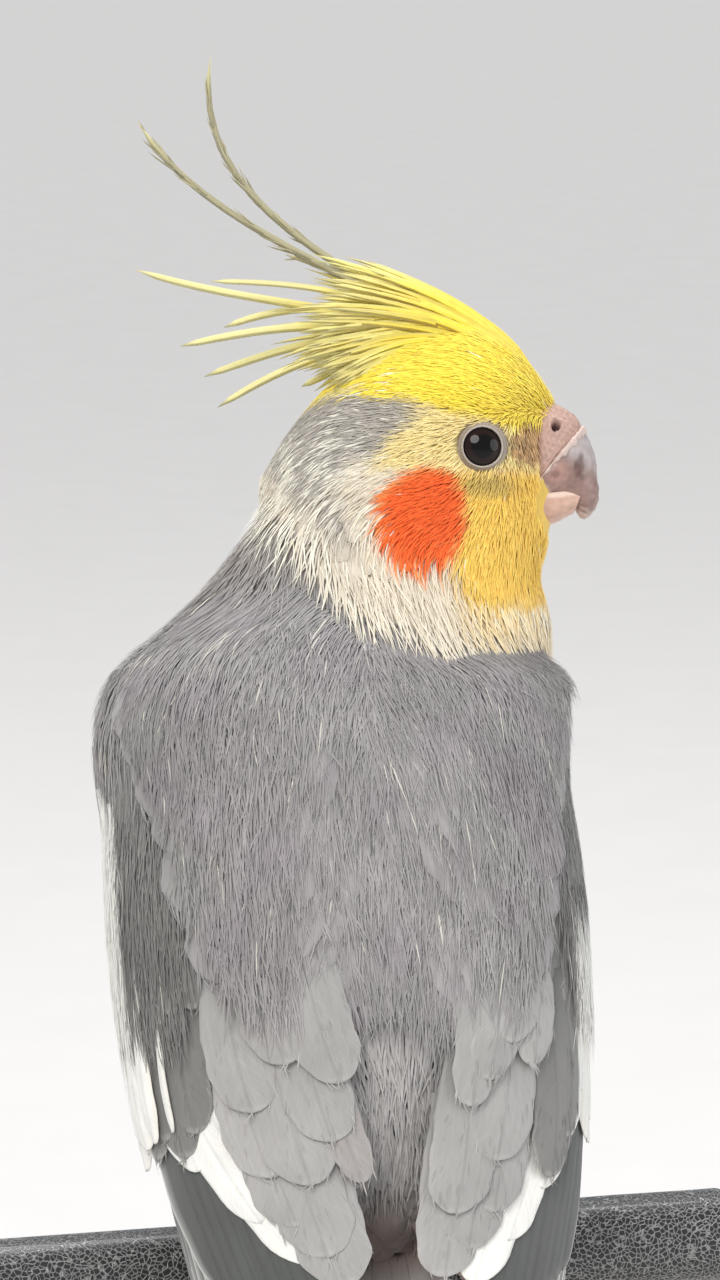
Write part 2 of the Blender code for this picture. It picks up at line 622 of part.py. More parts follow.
def head_pieces(parent):
    """Head with lids and sockets, cere with nostrils, and the two halves of the bill."""
    head = head_solid("head", parent)
    lids = []
    for side in (1, -1):
        x, y, z, radius = (v * mm for v in EYE)
        lids.append(ring_solid("lid", (x, -side * 12.6 * mm, z), (0.15, -side, 0), LID[0] * mm, LID[1] * mm, parent, "cere"))
    boolean(head, lids, "UNION")
    sockets = []
    for side in (1, -1):
        sockets.append(ball("socket", (x, -side * y, z), radius + GAP, parent, "eye"))
    boolean(head, sockets, "DIFFERENCE")
    swell = CERE_SWELL * mm
    cuts = [
        bent_loft("bill_cut", BILL, parent, "horn", grow=swell + GAP),
        bent_loft("lower_cut", LOWER_BILL, parent, "horn", grow=GAP),
    ]
    boolean(head, cuts, "DIFFERENCE")
    (x0, z0), (x1, z1) = CERE_EDGE
    slope = math.atan2(z0 - z1, x0 - x1)
    middle = Vector(((x0 + x1) / 2 * mm, 0, (z0 + z1) / 2 * mm))
    frame = Matrix.Translation(middle) @ Matrix.Rotation(-slope, 4, "Y")
    big = 30 * mm
    cere = bent_loft("cere", BILL[:4], parent, "cere", grow=swell)
    ahead = box_solid("ahead", frame, (-big, -big, -big), (big, big, GAP / 2), parent)
    boolean(cere, [ahead], "DIFFERENCE")
    x, y, z, radius = (v * mm for v in NOSTRIL)
    holes = [ball("hole", (x, side * y, z), radius, parent, "cere", 12, 8) for side in (1, -1)]
    boolean(cere, holes, "DIFFERENCE")
    upper = bent_loft("bill_upper", BILL, parent, "horn")
    behind = box_solid("behind", frame, (-big, -big, -GAP / 2), (big, big, big), parent)
    boolean(upper, [behind], "DIFFERENCE")
    lower = bent_loft("bill_lower", LOWER_BILL, parent, "horn")
    clear = [
        bent_loft("horn_cut", BILL, parent, "horn", grow=GAP + 0.05 * mm),
        bent_loft("cere_cut", BILL[:2], parent, "horn", grow=swell + GAP),
    ]
    boolean(lower, clear, "DIFFERENCE")
    for piece in (head, cere, upper, lower):
        smooth(piece)
    for side in (1, -1):
        eye(side, parent)
    return head


def tube(name, path, radii, parent, finish, sides=8):
    """A round-sided solid along a path of points."""
    path = [Vector(p) for p in path]
    rings = []
    for i, place in enumerate(path):
        run = path[min(i + 1, len(path) - 1)] - path[max(i - 1, 0)]
        frame = run.to_track_quat("Z", "X").to_matrix()
        rings.append([
            place + frame @ Vector((radii[i] * math.cos(a), radii[i] * math.sin(a), 0))
            for a in np.linspace(0, 2 * math.pi, sides, endpoint=False)
        ])
    return grid_solid(name, rings, finish, parent)


TOES = [  # name, direction round the bar (1 is forward), splay at the root and tip in mm, length in degrees
    ("inner_front", 1, -1.6, -4.2, 88),
    ("outer_front", 1, 1.8, 4.6, 104),
    ("inner_back", -1, -1.6, -4.0, 78),
    ("outer_back", -1, 1.8, 4.8, 98),
]


def leg(side, body, torso_cut):
    """Thigh, shank and four gripping toes in one solid, and each claw as its own."""
    label = "right" if side > 0 else "left"
    y, z = PERCH_PLACE
    x = 12.5 * mm
    round_bar = PERCH_RADIUS + GAP
    top = z + round_bar + 1.9 * mm
    thigh = ball("leg_" + label, (0, 0, 0), 1.0, None, "grey_plumage", 14, 8)
    stretch = Matrix.Translation((side * x * 1.05, y - 1.5 * mm, z + 19.5 * mm)) @ Matrix.Diagonal(
        (7.2 * mm, 8.5 * mm, 10.5 * mm, 1))
    thigh.data.transform(stretch)
    pieces = [tube("shank", [(side * x, y - 0.5 * mm, top + 12 * mm), (side * x, y - 0.5 * mm, top + 5 * mm),
                             (side * x, y, top - 0.6 * mm)],
                   [2.4 * mm, 2.0 * mm, 2.2 * mm], None, "foot")]
    claws = []
    for name, way, splay, splay_tip, sweep in TOES:
        path, radii = [], []
        for t in np.linspace(0, 1, 6):
            turn = math.radians(90 - way * sweep * t)
            radius = (1.75 - 0.45 * t) * mm
            reach = round_bar + radius
            across = side * (x + (splay + (splay_tip - splay) * t) * mm)
            path.append((across, y + reach * math.cos(turn), z + reach * math.sin(turn)))
            radii.append(radius)
        pieces.append(tube("toe", path, radii, None, "foot", 7))
        claw_path, claw_radii = [], []
        for t in np.linspace(0, 1, 4):
            turn = math.radians(90 - way * (sweep + 3.5 + 34 * t))
            radius = (0.95 - 0.75 * t) * mm
            reach = round_bar + radius + 0.45 * mm * (1 - t) + 1.1 * mm * math.sin(math.pi * t) * 0.8
            claw_path.append((side * (x + splay_tip * mm), y + reach * math.cos(turn), z + reach * math.sin(turn)))
            claw_radii.append(radius)
        claws.append(tube(f"claw_{label}_{name}", claw_path, claw_radii, None, "claw", 6))
    boolean(thigh, pieces, "UNION")
    boolean(thigh, [torso_cut], "DIFFERENCE")
    smooth(thigh)
    for claw in claws:
        smooth(claw)


def turned(name, profile, place, finish, around=36):
    """A solid of revolution about +Z from (radius, height) points, its ends closed by fans."""
    angles = np.linspace(0, 2 * math.pi, around, endpoint=False)
    rings = [[(place[0] + r * math.cos(a), place[1] + r * math.sin(a), z) for a in angles] for r, z in profile]
    return grid_solid(name, rings, finish)


def stand():
    """A turned base, a rod, and the cut length of bar that the bird grips."""
    r, h, edge = BASE_RADIUS, BASE_HEIGHT, 1.6 * mm
    profile = [(r - edge, 0), (r, edge), (r, h - 3 * edge), (r - 0.6 * edge, h - edge), (r - 2.2 * edge, h)]
    smooth(turned("stand_base", profile, BASE_PLACE, "stand_wood"), 50)
    y, z = PERCH_PLACE
    top = z - PERCH_RADIUS - GAP
    smooth(turned("stand_rod", [(ROD_RADIUS, h + GAP), (ROD_RADIUS, top)], (0, y), "steel", 20))
    half, edge = PERCH_LENGTH / 2, 1.0 * mm
    profile = [(PERCH_RADIUS - edge, -half), (PERCH_RADIUS, -half + edge),
               (PERCH_RADIUS, half - edge), (PERCH_RADIUS - edge, half)]
    bar = turned("perch", profile, (0, 0), "bar_paint", 28)
    bar.rotation_euler = (0, math.pi / 2, 0)
    bar.location = (0, y, z)
    smooth(bar, 50)


def main():
    clear_scene()
    body = empty("body_axis", BODY_CENTRE, (BODY_LEAN - math.pi / 2, 0, 0))
    look = empty("head_axis", HEAD_CENTRE, (HEAD_ROLL, 0, HEAD_TURN))
    bpy.context.view_layer.update()
    split = 38 * mm
    torso(split, body)
    neck = trunk_solid("neck", split + GAP, 68 * mm, 7, body)
    boolean(neck, [head_solid("head_cut", look, grow=GAP)], "DIFFERENCE")
    smooth(neck)
    head_pieces(look)
    crest_node = crest(look)
    boolean(crest_node, [head_solid("head_cut", look, grow=GAP)], "DIFFERENCE")
    smooth(crest_node)
    for side in (1, -1):
        wing(side, body)
    tail(body)
    for side in (1, -1):
        leg(side, body, trunk_solid("torso_cut", -43 * mm, split, 13, body, grow=GAP + 0.05 * mm))
    stand()


main()
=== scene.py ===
from math import cos, pi, radians, sin

import bpy
import numpy as np
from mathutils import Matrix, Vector


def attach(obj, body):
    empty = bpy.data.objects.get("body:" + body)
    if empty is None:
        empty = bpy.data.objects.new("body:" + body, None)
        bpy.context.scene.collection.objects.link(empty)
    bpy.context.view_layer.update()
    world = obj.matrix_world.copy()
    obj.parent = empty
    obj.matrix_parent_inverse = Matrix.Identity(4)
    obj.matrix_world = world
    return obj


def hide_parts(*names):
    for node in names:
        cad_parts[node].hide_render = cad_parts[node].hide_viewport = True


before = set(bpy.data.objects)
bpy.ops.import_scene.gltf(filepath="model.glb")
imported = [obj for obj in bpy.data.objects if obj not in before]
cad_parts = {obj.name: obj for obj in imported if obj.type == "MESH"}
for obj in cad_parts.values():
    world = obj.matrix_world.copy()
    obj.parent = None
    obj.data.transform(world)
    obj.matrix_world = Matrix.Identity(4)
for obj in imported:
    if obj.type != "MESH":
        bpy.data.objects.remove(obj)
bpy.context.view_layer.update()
scene = bpy.context.scene
rng = np.random.default_rng(17)
print("frame loaded")

# shapes shared by skin, coat and feathers, in millimetres

stance = {
    "bodyCentre": (0.0, 0.0, 198.0),
    "bodyLean": 68.0,  # degrees of the back above the horizon
    "headCentre": (13.9, 18.9, 264.0),
    "headTurn": -14.0,
    "headRoll": -10.0,
    "neckBlend": 4.0,  # softness of the crease between head and trunk
}

# place up the axis, half width, depth to the back, depth to the breast, shift right, shift back
trunkTable = np.array([
    (-43, 9.5, 6.0, 7.0, 0.0, 0.0),
    (-36, 15.0, 10.5, 14.0, 0.0, 0.0),
    (-26, 22.0, 16.0, 22.0, 0.0, 0.0),
    (-12, 27.5, 21.5, 29.0, 0.0, 0.0),
    (4, 30.3, 24.5, 33.0, -0.5, 0.0),
    (18, 31.0, 24.5, 33.5, -0.9, 0.0),
    (29, 32.0, 22.5, 32.0, -0.6, 0.0),
    (37, 31.2, 20.0, 29.5, 0.6, 0.2),
    (44, 28.2, 18.2, 26.5, 4.4, 0.9),
    (51, 23.8, 17.0, 23.0, 7.0, 1.9),
    (59, 18.6, 15.5, 19.0, 8.4, 3.2),
    (70, 13.5, 12.5, 14.0, 9.8, 5.5),
])
# the same for the folded wings' hull, mirrored on the left side
wingTable = np.array([
    (-140, 10.0, 13.0, 8.0, -0.6, 0.0),
    (-120, 12.5, 13.5, 9.0, -0.6, 0.0),
    (-95, 16.5, 14.0, 12.0, -0.6, 0.0),
    (-70, 21.5, 14.8, 15.0, -0.6, 0.0),
    (-48, 26.5, 16.5, 19.0, -0.6, 0.0),
    (-26, 30.0, 19.4, 24.0, -0.6, 0.0),
    (-12, 30.9, 22.2, 29.0, -0.6, 0.0),
    (4, 31.3, 24.7, 33.0, -0.6, 0.0),
    (18, 31.4, 24.7, 33.5, -0.6, 0.0),
    (29, 33.2, 22.7, 32.0, -0.6, 0.0),
    (37, 33.2, 20.2, 29.5, -0.6, 0.2),
    (44, 31.0, 18.4, 26.5, -0.6, 0.9),
])
# the cape's hull follows the wings and narrows into the neck
capeTable = np.vstack([wingTable[:-2], trunkTable[7:] + [0, 0.6, 0, 0, 0, 0]])
# place along the bill's direction, top, bottom, half width
headTable = np.array([
    (-21.6, -3.5, -8.5, 3.0),
    (-19.0, 1.0, -13.5, 7.5),
    (-14.0, 7.5, -17.5, 11.0),
    (-7.0, 13.5, -21.5, 13.0),
    (1.0, 17.2, -24.0, 14.0),
    (8.0, 17.6, -24.5, 13.4),
    (13.5, 15.2, -23.0, 10.8),
    (17.3, 11.6, -18.0, 7.0),
    (19.6, 8.4, -11.5, 4.2),
    (20.9, 6.6, -2.0, 1.6),
])


def between(table, at):
    # cubic Hermite curve through the stations, its slopes the mean of the two neighbouring chords
    at = np.clip(np.asarray(at, float), table[0, 0], table[-1, 0])
    places = table[:, 0]
    i = np.clip(np.searchsorted(places, at) - 1, 0, len(places) - 2)
    slope = np.gradient(table[:, 1:], places, axis=0)
    step = (places[i + 1] - places[i])[..., None]
    t = ((at - places[i]) / (places[i + 1] - places[i]))[..., None]
    value = (2 * t**3 - 3 * t**2 + 1) * table[i, 1:] + (3 * t**2 - 2 * t**3) * table[i + 1, 1:]
    value += (t**3 - 2 * t**2 + t) * step * slope[i] + (t**3 - t**2) * step * slope[i + 1]
    return np.moveaxis(value, -1, 0)


def ramp(value, low, high):
    # 0 at low, 1 at high, eased as 3t^2 - 2t^3
    t = np.clip((value - low) / (high - low), 0, 1)
    return t * t * (3 - 2 * t)


def unit(v):
    return v / np.maximum(np.linalg.norm(v, axis=-1, keepdims=True), 1e-9)


def dot(a, b):
    return (a * b).sum(axis=-1, keepdims=True)


def turnAbout(axis, degrees):
    # rotation matrix about X or Z
    c, s = cos(radians(degrees)), sin(radians(degrees))
    if axis == "x":
        return np.array([[1, 0, 0], [0, c, -s], [0, s, c]])
    return np.array([[c, -s, 0], [s, c, 0], [0, 0, 1]])


bodyTurn = turnAbout("x", stance["bodyLean"] - 90)
headTurn = turnAbout("z", stance["headTurn"]) @ turnAbout("x", stance["headRoll"])
bodyCentre, headCentre = np.array(stance["bodyCentre"]), np.array(stance["headCentre"])


def bodyWorld(p):
    return p @ bodyTurn.T + bodyCentre


def headWorld(p):
    return p @ headTurn.T + headCentre


def bodyLocal(p):
    return (p - bodyCentre) @ bodyTurn


def headLocal(p):
    return (p - headCentre) @ headTurn


def hullPoint(table, s, a):
    # oval section at height s: sideways half*sin(a), backwards depth*cos(a), a from the middle of the back
    half, back, front, right, shift = between(table, s)
    depth = np.where(np.cos(a) > 0, back, front)
    return np.stack([right + half * np.sin(a), -shift - depth * np.cos(a), s + 0 * a], axis=-1)


def hullFrame(table, s, a):
    # the point, its outward normal, and its derivatives along s and along a
    e, f = 0.2, 0.01
    along = (hullPoint(table, s + e, a) - hullPoint(table, s - e, a)) / (2 * e)
    across = (hullPoint(table, s, a + f) - hullPoint(table, s, a - f)) / (2 * f)
    return hullPoint(table, s, a), unit(np.cross(across, along)), along, across


def sided(table, side):
    # the table for a shape that is then mirrored by side
    return table * [1, 1, 1, 1, side, 1]


def lifted(table, s, a, h):
    point, normal, _, _ = hullFrame(table, s, a)
    return point + normal * np.asarray(h)[..., None]


def headPoint(x, b):
    # oval section at x: sideways half*sin(b), upwards from its middle high*cos(b), b from the crown
    top, bottom, half = between(headTable, x)
    middle, reach = (top + bottom) / 2, (top - bottom) / 2
    return np.stack([x + 0 * b, half * np.sin(b), middle + reach * np.cos(b)], axis=-1)


def ovalDistance(x, y, halfX, halfY):
    # reach from the middle, less the oval's own radius that way
    q = np.hypot(x / halfX, y / halfY) + 1e-6
    return (np.hypot(x, y) + 1e-6) * (1 - 1 / q)


def trunkDistance(p):
    x, y, s = np.moveaxis(bodyLocal(p), -1, 0)
    half, back, front, right, shift = between(trunkTable, s)
    side = ovalDistance(x - right, y + shift, half, np.where(y + shift < 0, back, front))
    return side + np.maximum(s - trunkTable[-1, 0], 0) + np.maximum(trunkTable[0, 0] - s, 0)


def headDistance(p):
    x, y, z = np.moveaxis(headLocal(p), -1, 0)
    top, bottom, half = between(headTable, x)
    side = ovalDistance(y, z - (top + bottom) / 2, half, (top - bottom) / 2)
    return side + np.maximum(x - headTable[-1, 0], 0) + np.maximum(headTable[0, 0] - x, 0)


def fleshDistance(p):
    # smooth minimum of the distances to head and trunk
    k = stance["neckBlend"]
    onHead, onTrunk = headDistance(p), trunkDistance(p)
    mix = np.clip(0.5 + 0.5 * (onHead - onTrunk) / k, 0, 1)
    return onHead + (onTrunk - onHead) * mix - k * mix * (1 - mix)


def fleshSlope(p):
    # gradient of that distance by central differences
    steps = np.eye(3) * 0.2
    return np.stack([(fleshDistance(p + e) - fleshDistance(p - e)) / 0.4 for e in steps], axis=-1)


def ontoFlesh(p, rounds=3, depth=0.0):
    # Newton steps down the gradient to the surface at that depth
    for _ in range(rounds):
        slope = fleshSlope(p)
        p = p - slope * ((fleshDistance(p) + depth)[..., None] / np.maximum(dot(slope, slope), 0.05))
    return p


def cloud(p, size, seed):
    # soft noise from -1 to 1: the mean of sine waves in eight directions
    dice = np.random.default_rng(seed)
    waves = unit(dice.normal(size=(8, 3))) * dice.uniform(0.6, 1.6, (8, 1)) * 2 * pi / size
    return np.sin(p @ waves.T + dice.uniform(0, 2 * pi, 8)).mean(axis=-1) * 1.9


# markings

def paint(r, g, b):
    # screen colour 0..255 to linear light
    c = np.array([r, g, b]) / 255
    return np.where(c < 0.04045, c / 12.92, ((c + 0.055) / 1.055) ** 2.4)


markings = {
    "mantle": paint(158, 155, 154),
    "neck": paint(156, 150, 145),
    "breast": paint(150, 146, 145),
    "rump": paint(179, 176, 174),
    "tailBase": paint(120, 104, 97),
    "covert": paint(122, 121, 118),
    "tertial": paint(162, 160, 157),
    "primary": paint(84, 86, 84),
    "covertSoft": paint(134, 133, 130),
    "tertialWarm": paint(160, 155, 152),
    "warmWhite": paint(238, 230, 220),
    "rim": paint(206, 204, 198),
    # painted shade: a dark tone for barbs that stand for the shaded gaps between feathers
    "featherGapShade": paint(70, 68, 68),
    "white": paint(240, 239, 233),
    "crown": paint(253, 229, 74),
    "crestPale": paint(240, 232, 165),
    "crestOlive": paint(176, 169, 134),
    "cheek": paint(252, 108, 38),
    "cheekSoft": paint(250, 152, 78),
    "lowerCheek": paint(254, 214, 100),
    "cream": paint(234, 223, 202),
    "eyeCream": paint(248, 228, 160),
    "lore": paint(196, 154, 108),
    # painted shade under the eye
    "underEyeShade": paint(176, 160, 100),
    "hindGrey": paint(172, 166, 158),
    "napeStreak": paint(244, 240, 224),
    "lavender": paint(154, 144, 150),
}


def mixed(a, b, w):
    # from a to b by the share w
    return a + (b - a) * np.asarray(w)[..., None]


# places in the side view of the head: forward, up, and for an oval its reach forward and up
faceLook = {
    "underEyeShade": (10, -5.6, 5.5, 1.8), "lore": (16.8, 0.3, 3.8, 3.4), "bristle": (16, 0.3, 3.5, 3.4),
    "cheek": (0.7, -10.6, 6.4, 7.2), "cheekSlant": 0.12,
    "nape": (-19, -5, 8, 9), "napeEdge": (-14, -8, 12, 16),
    "eyeClear": (9.15, 0.2), "eyeRadius": 3.35, "billClear": (20.5, -3.0, 3.8, 8.4),
}
# forward, and the height at which the pale fringe ends there
faceLine = np.array([
    (-24, -4), (-17, -12), (-12, -19), (-8.4, -22.8), (-3.3, -24.6), (1, -26.6), (4, -28), (8.4, -27.6),
    (14.6, -28), (22, -26),
])


def oval(t, u, place):
    # distance from the oval's middle as a share of its reach that way
    return np.hypot((t - place[0]) / place[2], (u - place[1]) / place[3])


def overFringe(local):
    # height over the end of the pale fringe
    return local[..., 2] - np.interp(local[..., 0], faceLine[:, 0], faceLine[:, 1])


def headTone(local):
    # soft masks over the side view of the head: t forward, u up; each ramp fades one marking in over the last
    t, y, u = np.moveaxis(local, -1, 0)
    wave = cloud(local, 7.0, 3)
    tone = np.broadcast_to(markings["cream"], t.shape + (3,))
    # yellow in front of the red patch and below the bill
    tone = mixed(tone, markings["lowerCheek"], ramp(t + 0.12 * u + 0.8 * wave, 0.6, 4.6) * ramp(u, -1, -5))
    tone = mixed(tone, markings["lowerCheek"], ramp(t, 12, 15) * ramp(u, 1, -4))
    # painted shade in a band under the eye
    tone = mixed(tone, markings["underEyeShade"], 0.6 * ramp(oval(t, u, faceLook["underEyeShade"]), 1.2, 0.4))
    tone = mixed(tone, markings["eyeCream"],
                 ramp(u + 0.45 * t + wave, -8, -3) * ramp(t, -9, -3) * ramp(u, -4.5, -2.5))
    # grey behind the crown, then the yellow crown and forehead
    hind = u - 0.62 * (t + 4) + 0.7 * wave
    tone = mixed(tone, markings["hindGrey"],
                 0.95 * ramp(hind, -0.5, 2.2) * ramp(t, 3, -3) * ramp(u + 0.5 * t, -17, -9))
    tone = mixed(tone, markings["crown"], ramp(u + 0.28 * t + 0.5 * wave, 5.6, 7.6))
    tone = mixed(tone, markings["crown"], ramp(t, 9, 13) * ramp(u, 2.2, 4.4))
    lore = oval(t, u, faceLook["lore"]) + 0.15 * cloud(local, 2.2, 4)
    tone = mixed(tone, markings["lore"], 0.9 * ramp(lore, 1.15, 0.6))
    # grey nape behind a slanting edge
    nape = t + 11 + 0.17 * (u + 6) + 0.5 * wave
    tone = mixed(tone, markings["hindGrey"], 0.95 * ramp(nape, 1.4, -1.4) * ramp(u, 2, -3))
    # the red cheek with an orange rim
    slant = faceLook["cheekSlant"] * (u - faceLook["cheek"][1])
    patch = oval(t - slant, u, faceLook["cheek"]) + 0.06 * cloud(local, 3.0, 9)
    tone = mixed(tone, markings["cheekSoft"], ramp(patch, 1.14, 0.98))
    tone = mixed(tone, markings["cheek"], ramp(patch, 1.02, 0.85))
    fringe = 0.85 * ramp(overFringe(local) + wave, 7.5, 2.5)
    return mixed(tone, markings["cream"], fringe * ramp(patch, 1.0, 1.15))


def bodyTone(p):
    # breast to back, then the neck above, the rump and the root of the tail below, all clouded by a tenth
    x, y, s = np.moveaxis(bodyLocal(p), -1, 0)
    wave = cloud(p, 26.0, 5) + 0.5 * cloud(p, 9.0, 6)
    tone = mixed(markings["breast"], markings["mantle"], ramp(y, 2, -6))
    tone = mixed(tone, markings["neck"], ramp(s, 40, 52))
    tone = mixed(tone, markings["rump"], ramp(s, -8, -14) * ramp(y, 4, -4))
    tone = mixed(tone, markings["tailBase"], ramp(s, -36, -44))
    return tone * (1 + 0.07 * wave)[..., None]


def faceMask(p):
    # 1 above the fringe line and near the head, 0 on the body
    local = headLocal(p)
    over = overFringe(local) - 0.7 * cloud(local, 4.0, 12)
    return ramp(over, -0.7, 0.7) * ramp(np.linalg.norm(local, axis=-1), 46, 38)


def coatTone(p):
    # head markings above the fringe line, body markings below it
    return mixed(bodyTone(p), headTone(headLocal(p)), faceMask(p))


def paleChance(p):
    # how often a strand is whitish: often where the nape meets the neck, seldom on the body
    t, y, u = np.moveaxis(headLocal(p), -1, 0)
    tuft = ramp(cloud(p, 5.0, 13), -0.1, 0.35)
    nape = ramp(t, -3, -9) * (0.75 * ramp(oval(t, u, faceLook["nape"]), 1.3, 0.5) * tuft
                              + 0.25 * ramp(oval(t, u, faceLook["napeEdge"]), 1.1, 0.5))
    return 0.004 + 0.05 * ramp(t, 1, -5) * ramp(u, -8, 2) * ramp(np.hypot(t, u), 30, 22) + nape


# mesh and material tools

def layPiece(name, points, faces, finish, nodes=(), tone=None, vane=None, bake=None, smooth=True):
    # points in millimetres; faces are index arrays of three or four columns;
    # the volume is the sum of a.(b x c), and where it is negative every face is turned round
    volume = 0.0
    for corners in faces:
        a, b, c = points[corners[:, 0]], points[corners[:, 1]], points[corners[:, 2]]
        volume += (a * np.cross(b, c)).sum()
        if corners.shape[1] == 4:
            volume += (a * np.cross(c, points[corners[:, 3]])).sum()
    if volume < 0:
        faces = [corners[:, ::-1] for corners in faces]
    mesh = bpy.data.meshes.new(name)
    loops = np.concatenate([corners.reshape(-1) for corners in faces]).astype(np.int32)
    sizes = np.concatenate([np.full(len(corners), corners.shape[1]) for corners in faces])
    mesh.vertices.add(len(points))
    mesh.loops.add(len(loops))
    mesh.polygons.add(len(sizes))
    mesh.vertices.foreach_set("co", (points * 0.001).astype(np.float32).ravel())
    mesh.loops.foreach_set("vertex_index", loops)
    mesh.polygons.foreach_set("loop_start", (np.cumsum(sizes) - sizes).astype(np.int32))
    mesh.update(calc_edges=True)
    mesh.polygons.foreach_set("use_smooth", np.full(len(sizes), smooth))
    if tone is not None:
        rgba = np.concatenate([np.clip(tone, 0, 1), np.ones((len(tone), 1))], axis=1).astype(np.float32)
        mesh.attributes.new("tone", "FLOAT_COLOR", "POINT").data.foreach_set("color", rgba.ravel())
    if vane is not None:
        place = vane.astype(np.float32)
        mesh.attributes.new("vane", "FLOAT_VECTOR", "POINT").data.foreach_set("vector", place.ravel())
    if bake is not None:
        mesh.uv_layers.new(name="OFBake").data.foreach_set("uv", bake[loops].astype(np.float32).ravel())
    mesh.materials.append(finish)
    obj = bpy.data.objects.new(name, mesh)
    scene.collection.objects.link(obj)
    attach(obj, "root")
    if nodes:
        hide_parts(*nodes)
    print(f"  {name}: {sum(len(c) * (c.shape[1] - 2) for c in faces)} triangles")
    return obj


def tiled(template, copies, stride):
    # the same face list for every copy, each shifted by its own first point
    return (template[None] + (np.arange(copies) * stride)[:, None, None]).reshape(-1, template.shape[1])


def strandMesh(path, normal, half, deep):
    # a hair-like strand: at each station a triangle of two edges and a ridge, closing to one point at the tip
    count, stations = path.shape[:2]
    side = unit(np.cross(np.gradient(path, axis=1), normal)) * half[..., None]
    ring = np.stack([path - side, path + normal * np.asarray(deep)[..., None], path + side], axis=2)[:, :-1]
    points = np.concatenate([ring.reshape(count, -1, 3), path[:, -1:]], axis=1)
    stride = 3 * (stations - 1) + 1
    quads = [(3 * i + j, 3 * i + (j + 1) % 3, 3 * i + 3 + (j + 1) % 3, 3 * i + 3 + j)
             for i in range(stations - 2) for j in range(3)]
    last = 3 * (stations - 2)
    tris = [(0, 2, 1)] + [(last + j, last + (j + 1) % 3, stride - 1) for j in range(3)]
    station = np.append(np.repeat(np.arange(stations - 1), 3), stations - 1)
    across = np.append(np.tile([-1, 0, 1], stations - 1), 0)
    faces = [tiled(np.array(quads), count, stride), tiled(np.array(tris), count, stride)]
    return points, faces, station, across


def vaneMesh(top, bottom):
    # a feather: two skins on one grid of stations by columns, joined round the rim
    count, rows, columns = top.shape[:3]
    points = np.concatenate([top.reshape(count, -1, 3), bottom.reshape(count, -1, 3)], axis=1)
    low = rows * columns
    cells = [(i * columns + j, i * columns + j + 1, (i + 1) * columns + j + 1, (i + 1) * columns + j)
             for i in range(rows - 1) for j in range(columns - 1)]
    under = [tuple(low + k for k in reversed(cell)) for cell in cells]
    rim = list(range(columns)) + [i * columns + columns - 1 for i in range(1, rows)]
    rim += [(rows - 1) * columns + j for j in range(columns - 2, -1, -1)]
    rim += [i * columns for i in range(rows - 2, 0, -1)]
    wall = [(b, a, low + a, low + b) for a, b in zip(rim, rim[1:] + rim[:1])]
    return points, [tiled(np.array(cells + under + wall), count, 2 * low)]


def byCorners(faces):
    # one array of all quads, then one of all triangles if there are any
    gathered = [[f for f in faces if f.shape[1] == corners] for corners in (4, 3)]
    return [np.concatenate(same) for same in gathered if same]


class Batch:
    # gathers many feathers or strands for one piece
    def __init__(self):
        self.faces, self.size, self.stores = [], 0, ([], [], [], [])

    def add(self, points, faces, *values):
        # points, then tones, places on the vane and the unwrap, each for all or spread over them
        self.faces += [corners + self.size for corners in faces]
        self.size += points.reshape(-1, 3).shape[0]
        for store, value, width in zip(self.stores, (points, *values), (3, 3, 3, 2)):
            store.append(np.broadcast_to(value, points.shape[:-1] + (width,)).reshape(-1, width))

    def addVanes(self, top, bottom, *values):
        # feathers whose two skins share their tones, places and unwrap
        self.add(*vaneMesh(top, bottom), *(np.concatenate([value, value], axis=1) for value in values))

    def lay(self, name, finish, slot, nodes=(), smooth=True):
        points, tone, vane, bake = (np.concatenate(store) for store in self.stores)
        return layPiece(name, points, byCorners(self.faces), finish, nodes, tone, vane, bake, smooth)


def bakePlace(p):
    # the unwrap: angle round the axis against the place along it, trunk on the left, head on the right
    x, y, s = np.moveaxis(bodyLocal(p), -1, 0)
    t, v, u = np.moveaxis(headLocal(p), -1, 0)
    onTrunk = np.stack([0.01 + 0.48 * (np.arctan2(x, -y) / (2 * pi) + 0.5), 0.02 + 0.96 * (s + 45) / 120],
                       axis=-1)
    onHead = np.stack([0.51 + 0.48 * (np.arctan2(v, u + 3) / (2 * pi) + 0.5), 0.02 + 0.96 * (t + 24) / 48],
                      axis=-1)
    return np.clip(np.where((headDistance(p) < trunkDistance(p))[..., None], onHead, onTrunk), 0.003, 0.997)


strandTaper = np.array([0.7, 1.0, 0.75, 0.0])  # width at a strand's four stations
barbSheet = 0.0004  # share of the unwrap for each millimetre of a strand


def strandVane(across, station, half, t, length):
    # millimetres across and along each strand, and a random third value that tells it from the others
    return np.stack(np.broadcast_arrays(across[None] * half[:, None], t[station][None] * length[:, None],
                                        (rng.random(len(half)) * 90)[:, None]), axis=-1)


def addStrands(batch, root, path, normal, half, deep, tone, length, fade=(1.0, 0.0)):
    # one tone for each strand, times fade's first value, plus its second on the way to the tip
    t = np.linspace(0, 1, path.shape[1])
    points, faces, station, across = strandMesh(path, normal, half[:, None] * strandTaper, deep)
    vane = strandVane(across, station, half, t, length)
    tones = tone[:, None] * (fade[0] + fade[1] * t[station])[:, None]
    batch.add(points, faces, tones, vane, bakePlace(root)[:, None] + vane[..., :2] * barbSheet)


def join(tree, value, socket):
    # links a socket, or a node's first output, and otherwise sets the value
    if isinstance(value, bpy.types.Node):
        value = value.outputs[0]
    if isinstance(value, bpy.types.NodeSocket):
        tree.links.new(value, socket)
    else:
        socket.default_value = value


def node(tree, kind, *inputs, **settings):
    # a new node; settings in small letters are its own, the others are inputs by name
    made = tree.nodes.new(kind)
    for key, value in settings.items():
        if key.islower():
            setattr(made, key, value)
    named = [(key, value) for key, value in settings.items() if not key.islower()]
    for key, value in [*enumerate(inputs), *named]:
        join(tree, value, made.inputs[key])
    return made


def maths(tree, operation, *inputs):
    return node(tree, "ShaderNodeMath", *inputs, operation=operation)


